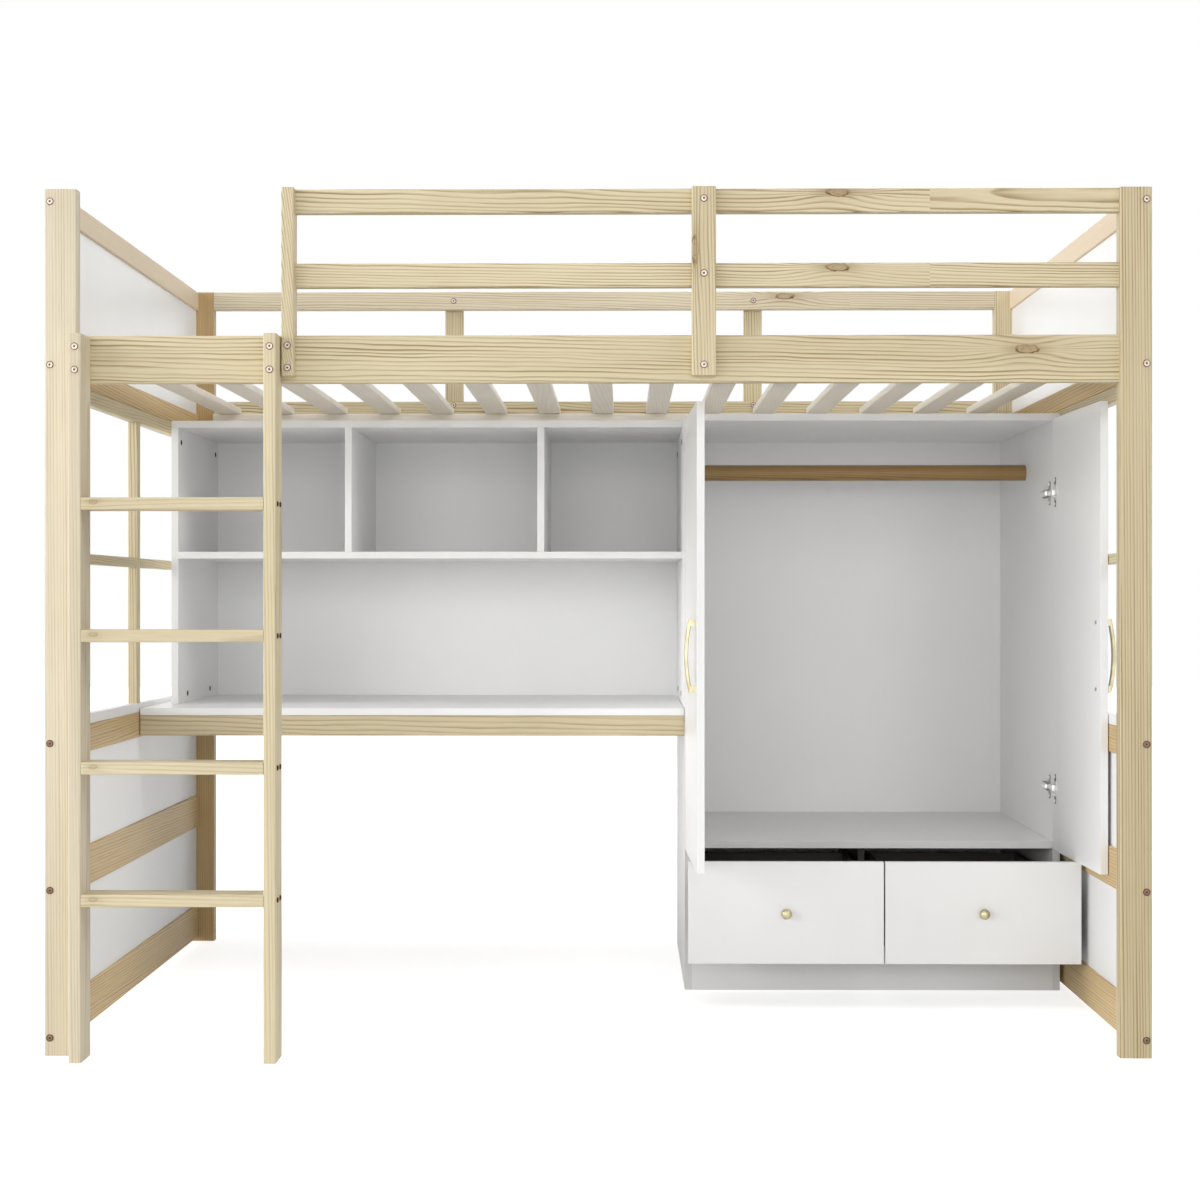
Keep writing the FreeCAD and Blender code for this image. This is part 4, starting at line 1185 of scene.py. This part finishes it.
@dataclass
class Fasteners:
    """Bolt heads, screw heads and the caps over the hutch's connectors."""

    dark_below: float = 0.62
    slender: float = 2.0
    head_share: float = 0.95

    def headed(self, points: Sequence[Vector]) -> Seat:
        """Find the seat of a headed fastener.

        Args:
            points: The fastener's corner points.

        Returns:
            The middle of its head's underside, and the way that the head faces.
        """
        low, high = extent(points)
        size = high - low
        axis = max(range(3), key=lambda i: size[i])
        others = [i for i in range(3) if i != axis]
        centre = (low + high) / 2

        def radius(point: Vector) -> float:
            """Return how far a point is from the fastener's axis."""
            return math.hypot(*(point[i] - centre[i] for i in others))

        def reach(end: float) -> float:
            """Return how wide the fastener is at one end."""
            return max(radius(p) for p in points if abs(p[axis] - end) < NEARBY)

        top, bottom = reach(high[axis]), reach(low[axis])
        outward = 1.0 if top > bottom else -1.0
        wide = [p[axis] for p in points if radius(p) > max(top, bottom) * self.head_share]
        place = centre.copy()
        place[axis] = min(wide, key=lambda value: value * outward)
        facing = Vector((0.0, 0.0, 0.0))
        facing[axis] = outward
        return Seat(place, facing)

    def flat(self, points: Sequence[Vector], middle: float) -> Seat:
        """Find the seat of a flat cap on an upright board.

        Args:
            points: The cap's corner points.
            middle: X that the cap faces towards.

        Returns:
            The middle of its underside, and the way that it faces.
        """
        low, high = extent(points)
        place = (low + high) / 2
        outward = 1.0 if place.x < middle else -1.0
        place.x = low.x if outward > 0 else high.x
        return Seat(place, Vector((outward, 0.0, 0.0)))

    def build(self) -> None:
        """Set every head and cap."""
        bolts = [self.headed(points) for points in solids_of("frame_bolts")]
        upper = [seat for seat in bolts if seat.place.z > self.dark_below]
        lower = [seat for seat in bolts if seat.place.z <= self.dark_below]

        low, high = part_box("hutch_top")
        screws = []
        caps = []
        for points in solids_of("screws_and_caps"):
            corner, far = extent(points)
            size = sorted(far - corner)
            if size[2] > self.slender * size[1]:
                screws.append(self.headed(points))
            else:
                caps.append(self.flat(points, (low.x + high.x) / 2))

        for head, name, seats, finish, slot, node in (
                (BOLT_HEAD, "bolt_heads_upper", upper, COPPER_BOLT, "bolt_steel", "frame_bolts"),
                (BOLT_HEAD, "bolt_heads_lower", lower, DARK_BOLT, "bolt_steel", "frame_bolts"),
                (SCREW_HEAD, "rung_screw_heads", screws, BROWN_SCREW, "brown_steel", "screws_and_caps"),
                (CAP, "connector_caps", caps, BROWN_CAP, "brown_steel", "screws_and_caps")):
            hand_over(head.set_on(name, seats, finish.material()), "frame", slot, node)


@dataclass
class SlatRow:
    """Bed slats across the two ledgers."""

    edge: float = 0.0025
    number = "slat_number"

    def build(self) -> None:
        """Make the slats from the places of the frame's own."""
        slats = [extent(points) for points in solids_of("bed_slats")]
        slats.sort(key=lambda corners: corners[0].x)
        size = slats[0][1] - slats[0][0]
        finish = WoodFinish(SLAT_WOOD, Axis.Y, wander=0.012, numbered=True)
        piece = SlatTree().settle(
            "slats", bpy.data.meshes.new("slats"), Count=len(slats),
            First=(slats[0][0] + slats[0][1]) / 2, Last=(slats[-1][0] + slats[-1][1]) / 2,
            Width=size.x, Thickness=size.z, Length=size.y, Edge=self.edge,
            Finish=finish.material("bed_slats"))
        hand_over(piece, "frame", "slat_wood", "bed_slats")


@dataclass(frozen=True)
class PostLook:
    """Looks of one end's front and back post."""

    side: Side
    front: WoodPalette
    back: WoodPalette
    strength: float
    front_shade: float
    back_shade: float


@dataclass
class EndFrames:
    """Posts, rails, window bars and panels of the bed's two ends."""

    # The left back post's golden palette and 0.35 shade are partly its own tone and partly painted shade for
    # the shadow it stands in.
    posts: tuple[PostLook, ...] = (PostLook(Side.LEFT, PALE_PINE, GOLDEN_PINE, 0.55, 0.0, 0.35),
                                   PostLook(Side.RIGHT, PINE, PINE, 1.0, 0.3, 0.1))
    post_pitch: float = 0.0052
    post_heart: tuple[float, float] = (0.02, -0.09)
    post_drift: float = 0.006
    rail: WoodFinish = WoodFinish(GOLDEN_PINE, Axis.Y, ring_pitch=0.006, wander=0.016, strength=0.7)
    top_strength: float = 0.4
    bar_strength: float = 0.7
    bar_margin: float = 0.0005
    bar_edge: float = 0.002

    def mullion_box(self, side: Side) -> CrossGrain:
        """Return the box of the upright window bar, above and below which the bars run level."""
        low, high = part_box(f"window_frame_{side.value}")
        margin = self.bar_margin
        points = [vertex.co for vertex in bpy.data.objects[f"window_frame_{side.value}"].data.vertices]
        foot_low, foot_high = extent([point for point in points if point.z < low.z + margin])
        ends = sorted(point.z for point in points if point.y < low.y + margin)
        head = max(zip(ends, ends[1:]), key=lambda pair: pair[1] - pair[0])[1]
        reach = margin + self.bar_edge
        return CrossGrain(Axis.Z, (low.x - margin, foot_low.y - reach, low.z - margin),
                          (high.x + margin, foot_high.y + reach, head))

    def build(self) -> None:
        """Finish every board of both ends."""
        white = WHITE_COAT.material()
        for look in self.posts:
            name = look.side.value
            post = WoodFinish(look.front, Axis.Z, self.post_pitch, self.post_heart, self.post_drift,
                              self.post_drift, look.strength, shade=look.front_shade)
            bars = WoodFinish(PINE, Axis.Y, cross=self.mullion_box(look.side), strength=self.bar_strength)
            post.on(f"post_front_{name}")
            replace(post, palette=look.back, shade=look.back_shade).on(f"post_back_{name}")
            replace(self.rail, palette=ROSY_PINE, strength=self.top_strength).on(f"end_top_rail_{name}")
            self.rail.on(f"end_bed_rail_{name}")
            self.rail.on(f"end_lower_rails_{name}")
            bars.on(f"window_frame_{name}")
            for node in (f"window_sill_{name}", f"end_upper_panel_{name}", f"end_lower_panels_{name}"):
                paint(node, white)


@dataclass
class BedBase:
    """Side rails and slat ledgers."""

    rail_knot: Knot = Knot(0.768, 1.264)

    def build(self) -> None:
        """Finish the rails and ledgers."""
        rail = WoodFinish(PINE, Axis.X, ring_pitch=0.0066, wander=0.03)
        replace(rail, slope=0.012, knots=(self.rail_knot,)).on("side_rail_front")
        rail.on("side_rail_back")
        WoodFinish(SLAT_WOOD, Axis.X).on("slat_ledgers")


@dataclass
class Guards:
    """Front and back guard rails with their posts."""

    rail_knots: tuple[Knot, ...] = (Knot(0.431, 1.545), Knot(0.431, 1.411))
    back_knot: Knot = Knot(0.433, 1.541)
    post_knot: Knot = Knot(1.438, 0.1745, 0.046, 0.012, 0.006, 0.8)
    front_seam: float = 0.595
    back_seam: float = 0.588

    def build(self) -> None:
        """Finish the rails and posts."""
        rail = WoodFinish(PINE, Axis.X, wander=0.024, knots=self.rail_knots, seam=self.front_seam)
        back = replace(rail, palette=PALE_PINE, knots=(self.back_knot,), seam=self.back_seam)
        rail.on("guard_rails")
        back.on("back_guard_rail")
        WoodFinish(PINE, Axis.Z, strength=0.7, knots=(self.post_knot,)).on("guard_post_middle")
        WoodFinish(PINE, Axis.Z, ring_pitch=0.004, slope=0.14, strength=0.9).on("guard_post_left")
        WoodFinish(PINE, Axis.Z, strength=0.8).on("back_guard_posts")


@dataclass
class Ladder:
    """Upright ladder at the front."""

    knot: Knot = Knot(0.0, 0.0, 0.014, 0.008, 0.002, 0.4)
    knot_from_end: float = 0.022
    knot_rise: float = 0.003

    def rung_knots(self) -> tuple[Knot, ...]:
        """Return the small knot near the left end of every rung."""
        knots = []
        for points in solids_of("ladder_rungs"):
            low, high = extent(points)
            height = (low.z + high.z) / 2 + self.knot_rise
            knots.append(replace(self.knot, along=low.x + self.knot_from_end, across=height))
        return tuple(knots)

    def build(self) -> None:
        """Finish the legs and rungs."""
        leg = WoodFinish(PINE, Axis.Z, ring_pitch=0.005, heart=(0.02, -0.07), slope=0.008, wander=0.008,
                         strength=0.5)
        rung = WoodFinish(PINE, Axis.X, ring_pitch=0.007, wander=0.012, strength=0.4, knots=self.rung_knots())
        replace(leg, palette=PALE_PINE).on("ladder_leg_left")
        leg.on("ladder_leg_right")
        rung.on("ladder_rungs")


@dataclass
class DeskAndHutch:
    """Desk with its rails, and the shelf unit on it."""

    rail_depth: float = 0.0225
    hutch: tuple[str, ...] = ("hutch_side", "hutch_top", "hutch_shelf", "hutch_dividers", "hutch_back")

    def build(self) -> None:
        """Finish the rails and the white boards."""
        low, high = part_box("desk_rails")
        depth = self.rail_depth
        cross = CrossGrain(Axis.Y, (low.x - depth, low.y + depth, low.z - depth),
                           (high.x + depth, high.y - depth, high.z + depth))
        rails = WoodFinish(PINE, Axis.X, ring_pitch=0.0034, slope=0.006, wander=0.01, strength=0.6,
                           cross=cross, shade=0.14)
        rails.on("desk_rails")
        paint("desk_top", WHITE_COAT.material())
        for node in self.hutch:
            paint(node, banded("hutch_melamine", "hutch_top"))


@dataclass
class Wardrobe:
    """Wardrobe carcass with its rod and drawer runners."""

    boards: tuple[str, ...] = ("wardrobe_side_left", "wardrobe_side_right", "wardrobe_top", "wardrobe_shelf",
                               "wardrobe_back")
    margin: float = 0.0005

    def partition_painted_shade(self) -> Patch:
        """Return painted shade on the board between the drawers, which hides it in the gap over them."""
        solids = [extent(points) for points in solids_of("wardrobe_base")]
        low, high = min(solids, key=lambda corners: corners[1].x - corners[0].x)
        edge = Vector((self.margin,) * 3)
        return Patch(tuple(low - edge), tuple(high + edge), DRAWER_BOARD_PAINTED_SHADE.colour)

    def build(self) -> None:
        """Finish the carcass."""
        for node in self.boards:
            paint(node, banded("wardrobe_melamine", "wardrobe_side_left"))
        # Painted shade: the middle board of the base takes the drawer boards' near-black colour, so it hides
        # in the shadowed gap.
        paint("wardrobe_base", replace(WHITE_COAT, name="base_melamine", patch=self.partition_painted_shade()).material())
        WoodFinish(ROD_WOOD, Axis.X, ring_pitch=0.004, wander=0.01).on("wardrobe_rod")
        paint("drawer_runners", RUNNER_COAT.material())


@dataclass
class Hinges:
    """Cup hinges of both doors, in millimetres.

    The fixed half is drawn with X towards the back, Y up and Z out of the side board's
    inner face. The moving half is drawn with X towards the back and Z out of the door.
    """

    wing_centre: float = 25.5
    wing_width: float = 11.0
    wing_height: float = 50.0
    wing_thickness: float = 2.5
    wing_screw: float = 19.0
    block_start: float = 20.0
    block_end: float = 74.0
    block_height: float = 17.0
    block_depth: float = 7.0
    block_corner: float = 5.0
    cover_inset: float = 2.0
    cover_depth: float = 12.0
    cover_corner: float = 4.0
    arm_height: float = 12.0
    arm_low: float = 2.0
    arm_high: float = 4.5
    arm_corner: float = 0.8
    finger_front: float = -13.8
    finger_back: float = -10.8
    finger_corner: float = 0.6
    eye_out: float = -9.0
    eye_radius: float = 2.0
    pin_radius: float = 1.0
    pin_length: float = 23.0
    adjusters: tuple[float, float] = (33.0, 50.0)
    adjuster_sink: float = 0.8
    flange_width: float = 12.0
    flange_height: float = 61.0
    flange_thickness: float = 1.0
    flange_corner: float = 4.0
    flange_lap: float = 3.0
    flange_screw: float = 25.0
    screw_sink: float = 0.3
    cup_radius: float = 17.3
    cup_wall: float = 1.3
    cup_depth: float = 12.7
    cup_floor: float = 0.3
    floor_hole: float = 1.0
    slot_half_degrees: float = 27.0
    ear_inner: float = 8.0
    ear_thickness: float = 3.0
    ear_corner: float = 0.8
    ear_start: float = -20.3
    ear_end: float = -11.3
    ear_floor: float = -12.7
    ear_top: float = -7.3
    ease: float = 0.5
    # Painted shade: the mounting plates and the cup's flange wings are darkened towards the nickel's darker
    # tone, in place of their shadows.
    plate_painted_shade: float = 0.8
    flange_painted_shade: float = 1.0
    screw_steps: int = 24
    eye_steps: int = 20
    pin_steps: int = 14
    floor_steps: int = 40
    wall_steps: int = 48
    small_steps: int = 2

    def add_screw(self, maker: Maker, place: Matrix) -> None:
        """Add one cross-headed screw around local Z."""
        maker.turned(PLATE_SCREW, place, self.screw_steps, Drive.CROSS, PLATE_SCREW_SOCKET)

    def add_arm(self, maker: Maker, place: Matrix) -> None:
        """Add one fixed half.

        Args:
            maker: What collects it.
            place: From the drawn place to the frame, in millimetres.
        """
        wing = Matrix.Translation((self.wing_centre, 0, 0))
        maker.plate(rounded(self.wing_width, self.wing_height, self.wing_width / 2), 0.0, self.wing_thickness,
                    place @ wing, self.ease, self.plate_painted_shade)
        for up in (-self.wing_screw, self.wing_screw):
            spot = Matrix.Translation((self.wing_centre, up, self.wing_thickness))
            self.add_screw(maker, place @ spot)

        length = self.block_end - self.block_start
        middle = Matrix.Translation(((self.block_start + self.block_end) / 2, 0, 0))
        block = rounded(length, self.block_height, self.block_corner)
        maker.plate(block, 0.0, self.block_depth, place @ middle, self.ease, self.plate_painted_shade)
        cover = rounded(length - self.cover_inset, self.arm_height, self.cover_corner)
        maker.plate(cover, self.block_depth, self.cover_depth, place @ middle, self.ease)
        for along in self.adjusters:
            spot = Matrix.Translation((along, 0, self.cover_depth - self.adjuster_sink))
            self.add_screw(maker, place @ spot)

        reach = self.block_start - self.finger_back
        arm = Matrix.Translation((self.block_start - reach / 2, 0, 0))
        outline = rounded(reach, self.arm_height, self.arm_corner, self.small_steps)
        maker.plate(outline, self.arm_low, self.arm_high, place @ arm, self.ease)
        finger_length = self.finger_back - self.finger_front
        finger = Matrix.Translation(((self.finger_front + self.finger_back) / 2, 0, 0))
        outline = rounded(finger_length, self.arm_height, self.finger_corner, self.small_steps)
        maker.plate(outline, self.eye_out, self.arm_high, place @ finger, self.ease)

        upright = Matrix.Rotation(-math.pi / 2, 4, "X")
        pivot = Matrix.Translation(((self.finger_front + self.finger_back) / 2, 0, self.eye_out))
        half_eye = self.arm_height / 2
        half_pin = self.pin_length / 2
        eye = ((self.eye_radius, -half_eye), (self.eye_radius, half_eye))
        pin = ((self.pin_radius, -half_pin), (self.pin_radius, half_pin))
        maker.turned(eye, place @ pivot @ upright, self.eye_steps)
        maker.turned(pin, place @ pivot @ upright, self.pin_steps)

    def add_cup(self, maker: Maker, place: Matrix) -> None:
        """Add one moving half.

        Args:
            maker: What collects it.
            place: From the drawn place to the frame, in millimetres.
        """
        flange = self.flange_thickness
        half_flange = self.flange_height / 2
        inner = self.cup_radius - self.cup_wall
        wing_length = half_flange - self.cup_radius + self.flange_lap
        wing = rounded(self.flange_width, wing_length, self.flange_corner)
        for up in (1.0, -1.0):
            spot = Matrix.Translation((0, up * (half_flange - wing_length / 2), 0))
            maker.plate(wing, 0.0, flange, place @ spot, self.ease / 2, self.flange_painted_shade)
            screw = Matrix.Translation((0, up * self.flange_screw, flange - self.screw_sink))
            self.add_screw(maker, place @ screw)
        wall = ((self.cup_radius, -self.cup_depth), (self.cup_radius, flange), (inner, flange),
                (inner, -self.cup_depth + self.cup_wall), (inner, -self.cup_depth))
        self.add_open_ring(maker, wall, place)
        floor_top = -self.cup_depth + self.cup_floor
        floor = ((inner, -self.cup_depth), (inner, floor_top), (self.floor_hole, floor_top))
        maker.turned(floor, place, self.floor_steps)
        ear_length = self.ear_end - self.ear_start
        ear = rounded(ear_length, self.ear_thickness, self.ear_corner, self.small_steps)
        for up in (1.0, -1.0):
            height = up * (self.ear_inner + self.ear_thickness / 2)
            spot = Matrix.Translation(((self.ear_start + self.ear_end) / 2, height, 0))
            maker.plate(ear, self.ear_floor, self.ear_top, place @ spot)

    def add_open_ring(self, maker: Maker, profile: Profile, place: Matrix) -> None:
        """Add the cup's wall, which is open towards the hinge side.

        Args:
            maker: What collects it.
            profile: Closed section of the wall, as radius and height.
            place: Where the wall goes.
        """
        start = math.pi + math.radians(self.slot_half_degrees)
        sweep = 2 * math.pi - 2 * math.radians(self.slot_half_degrees)
        sections = []
        for step in range(self.wall_steps + 1):
            angle = start + sweep * step / self.wall_steps
            points = [(r * math.cos(angle), r * math.sin(angle), h) for r, h in profile]
            sections.append([maker.mesh.verts.new(point) for point in points])
        count = len(profile)
        for before, after in zip(sections, sections[1:]):
            for index in range(count):
                other = (index + 1) % count
                maker.mesh.faces.new((before[index], before[other], after[other], after[index]))
        maker.mesh.faces.new(sections[0])
        maker.mesh.faces.new(sections[-1])
        maker.close([vertex for section in sections for vertex in section], place)

    def build(self) -> None:
        """Make the fixed halves as one piece and the moving halves as one for each door."""
        arms = Maker()
        for side in Side:
            low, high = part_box(f"wardrobe_side_{side.value}")
            inner_face = high.x if side is Side.LEFT else low.x
            cups = Maker()
            turn = Matrix.Rotation(self.door_turn(side), 4, "Z")
            for points in solids_of(f"hinge_cups_{side.value}"):
                corner, far = extent(points)
                height = (corner.z + far.z) / 2 / MILLIMETRE
                place = facing_matrix(side, inner_face / MILLIMETRE, low.y / MILLIMETRE, height)
                self.add_arm(arms, place)
                square = [point @ turn.to_3x3() for point in points]
                corner, far = extent(square)
                flange_face = far.x if side is Side.LEFT else corner.x
                door_face = flange_face / MILLIMETRE - side.inward * self.flange_thickness
                cup_y = self.cup_middle(square, side) / MILLIMETRE
                self.add_cup(cups, turn @ facing_matrix(side, door_face, cup_y, height, -1.0))
            piece = add_object(f"hinge_cup_set_{side.value}", cups.finish(f"hinge_cup_set_{side.value}"))
            piece.data.materials.append(NICKEL.material())
            hand_over(piece, f"door_{side.value}", "chrome", f"hinge_cups_{side.value}")
        piece = add_object("hinge_arm_set", arms.finish("hinge_arm_set"))
        piece.data.materials.append(NICKEL.material())
        hand_over(piece, "frame", "chrome", "hinge_arms")

    def door_turn(self, side: Side) -> float:
        """Return how far a door is turned about the upright from square with the wardrobe."""
        faces = bpy.data.objects[f"door_{side.value}"].data.polygons
        normal = max(faces, key=lambda face: face.area).normal
        return math.atan(normal.y / normal.x)

    def cup_middle(self, points: Sequence[Vector], side: Side) -> float:
        """Return the Y of a cup's middle, from the corners of its flange."""
        corner, far = extent(points)
        face = far.x if side is Side.LEFT else corner.x
        tips = [p.y for p in points if abs(p.x - face) < NEARBY and abs(p.z - far.z) < NEARBY]
        return (min(tips) + max(tips)) / 2


def facing_matrix(side: Side, x: float, y: float, z: float, along: float = 1.0) -> Matrix:
    """Place something drawn on a face that looks along X towards the middle.

    Args:
        side: Side of the wardrobe that the face belongs to.
        x: X of the face.
        y: Y of the drawn origin.
        z: Height of the drawn origin.
        along: Sign of Y that the drawn X follows.

    Returns:
        The matrix from the drawn place to the frame.
    """
    columns = (Vector((0, along, 0)), Vector((0, 0, 1)), Vector((side.inward, 0, 0)))
    return Matrix.Translation((x, y, z)) @ Matrix(columns).transposed().to_4x4()


@dataclass
class Doors:
    """Wardrobe doors with their handles."""

    def build(self) -> None:
        """Finish the door boards and handles."""
        for side in Side:
            paint(f"door_{side.value}", WHITE_COAT.material())
            paint(f"door_handle_{side.value}", BRASS.material())


@dataclass
class Drawers:
    """Drawers with turned knobs, in millimetres."""

    knob_steps: int = 48
    knob_smooth_degrees: float = 50.0
    knob: tuple[tuple[float, float], ...] = (
        (7.0, 0.0), (7.0, 1.6), (6.6, 2.4), (5.6, 3.0), (4.8, 3.8), (4.5, 5.5), (4.5, 8.0), (5.0, 9.4),
        (6.8, 10.6), (8.7, 12.0), (9.9, 13.8), (10.4, 15.4), (10.5, 16.8), (10.2, 18.6), (9.5, 20.2),
        (8.4, 21.6), (6.9, 22.7), (5.0, 23.5), (2.8, 23.9), (0.6, 24.0))

    def build(self) -> None:
        """Finish the boards and make the knobs."""
        outward = Matrix.Rotation(math.pi / 2, 4, "X")
        for side in Side:
            name = side.value
            # Painted shade: the fronts take the greyer copy of the white melamine.
            paint(f"drawer_front_{name}", FRONT_COAT_PAINTED_SHADE.material())
            # Painted shade: near-black boxes darken the gap over the drawers.
            paint(f"drawer_box_{name}", DRAWER_BOARD_PAINTED_SHADE.material())
            low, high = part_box(f"drawer_knob_{name}")
            foot = Vector(((low.x + high.x) / 2, high.y, (low.z + high.z) / 2)) / MILLIMETRE
            maker = Maker()
            maker.turned(self.knob, Matrix.Translation(foot) @ outward, self.knob_steps)
            mesh = maker.finish(f"turned_knob_{name}", self.knob_smooth_degrees)
            piece = add_object(f"turned_knob_{name}", mesh)
            piece.data.materials.append(BRASS.material())
            hand_over(piece, f"drawer_{name}", "brass", f"drawer_knob_{name}")


@dataclass(frozen=True)
class Lamp:
    """Soft rectangular lamp."""

    name: str
    place: tuple[float, float, float]
    width: float
    height: float
    power: float


@dataclass
class Studio:
    """Pale floor, soft light, white surroundings and the camera."""

    eye_before_posts: float = 3.6769
    eye_right: float = 0.0472
    eye_height: float = 0.817
    yaw: float = 0.0112
    lens: float = 61.8
    sensor: float = 36.0
    floor_size: float = 30.0
    floor_drop: float = 0.0005
    floor_shade: float = 0.8
    floor_roughness: float = 0.9
    floor_specular: float = 0.1
    floor_glow: tuple[float, float] = (0.7, 1.0)
    glow_span: tuple[float, float] = (1.0, 3.5)
    ambient: float = 0.145
    lamp_target: tuple[float, float, float] = (0.0, 0.0, 0.7)
    lamps: tuple[Lamp, ...] = (
        Lamp("front", (0.0, -14.0, 2.4), 11.0, 4.4, 580.0),
        Lamp("left_front", (-11.0, -11.0, 3.6), 8.0, 6.4, 560.0),
        Lamp("left_side", (-15.0, -3.0, 3.6), 8.0, 6.4, 1500.0),
        Lamp("right_high", (9.0, -4.0, 9.0), 6.0, 6.0, 520.0),
        Lamp("back", (0.0, 14.0, 3.4), 9.0, 6.0, 230.0),
        Lamp("top", (0.0, -1.0, 10.0), 8.0, 8.0, 360.0),
    )

    def background_rays(self, graph: Graph) -> Socket:
        """Return the mask of rays that see the surroundings as white."""
        path = graph.node("ShaderNodeLightPath").outputs
        seen = graph.math("MAXIMUM", path["Is Camera Ray"], path["Is Glossy Ray"])
        return graph.math("MAXIMUM", seen, path["Is Transmission Ray"])

    def build_world(self) -> None:
        """Make the surroundings white to look at and softer as a light."""
        world = bpy.data.worlds.new("studio")
        world.use_nodes = True
        graph = Graph(world.node_tree)
        background = world.node_tree.nodes["Background"]
        seen = self.background_rays(graph)
        strength = graph.node("ShaderNodeMix", seen, None, self.ambient, 1.0).outputs[0]
        graph.feed(background.inputs["Strength"], strength)
        background.inputs["Color"].default_value = WHITE
        bpy.context.scene.world = world

    def build_floor(self) -> None:
        """Lay the floor just under the posts."""
        half = self.floor_size / 2
        corners = [(-half, -half), (half, -half), (half, half), (-half, half)]
        mesh = bpy.data.meshes.new("floor")
        mesh.from_pydata([(x, y, -self.floor_drop) for x, y in corners], [], [(0, 1, 2, 3)])
        floor = add_object("floor", mesh)
        material, graph, shader = new_material("pale_floor")
        shader.inputs["Base Color"].default_value = (*(self.floor_shade,) * 3, 1.0)
        shader.inputs["Roughness"].default_value = self.floor_roughness
        shader.inputs["Specular IOR Level"].default_value = self.floor_specular
        shader.inputs["Emission Color"].default_value = WHITE
        place = graph.node("ShaderNodeTexCoord").outputs["Object"]
        away = graph.node("ShaderNodeVectorMath", place, operation="LENGTH").outputs["Value"]
        level = graph.smooth(away, *self.glow_span, *self.floor_glow)
        glow = graph.math("MULTIPLY", self.background_rays(graph), level)
        graph.feed(shader.inputs["Emission Strength"], glow)
        mesh.materials.append(material)
        floor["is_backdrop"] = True

    def build_lamps(self) -> None:
        """Hang the soft lamps, all turned to the middle of the bed."""
        for lamp in self.lamps:
            data = bpy.data.lights.new(lamp.name, "AREA")
            data.shape = "RECTANGLE"
            data.size = lamp.width
            data.size_y = lamp.height
            data.energy = lamp.power
            made = bpy.data.objects.new(lamp.name, data)
            made.location = lamp.place
            aim = Vector(self.lamp_target) - Vector(lamp.place)
            made.rotation_euler = aim.to_track_quat("-Z", "Y").to_euler()
            bpy.context.scene.collection.objects.link(made)

    def build_camera(self) -> None:
        """Stand the camera where the photograph was taken from."""
        low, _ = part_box("post_front_left")
        data = bpy.data.cameras.new("camera")
        data.lens = self.lens
        data.sensor_width = self.sensor
        camera = bpy.data.objects.new("camera", data)
        camera.location = (self.eye_right, low.y - self.eye_before_posts, self.eye_height)
        camera.rotation_euler = (math.pi / 2, 0.0, self.yaw)
        bpy.context.scene.collection.objects.link(camera)
        bpy.context.scene.camera = camera

    def build(self) -> None:
        """Set the whole studio up."""
        bpy.context.scene.view_settings.view_transform = "Standard"
        self.build_world()
        self.build_floor()
        self.build_lamps()
        self.build_camera()


def main() -> None:
    """Load the frame, dress each sub-assembly and set up the studio."""
    logging.basicConfig(level=logging.INFO, format="%(message)s")
    for old in list(bpy.data.objects):
        bpy.data.objects.remove(old)
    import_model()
    for assembly in (EndFrames(), BedBase(), SlatRow(), Guards(), Ladder(), DeskAndHutch(), Wardrobe(),
                     Doors(), Hinges(), Drawers(), Fasteners(), Studio()):
        assembly.build()


if __name__ == "__main__":
    main()
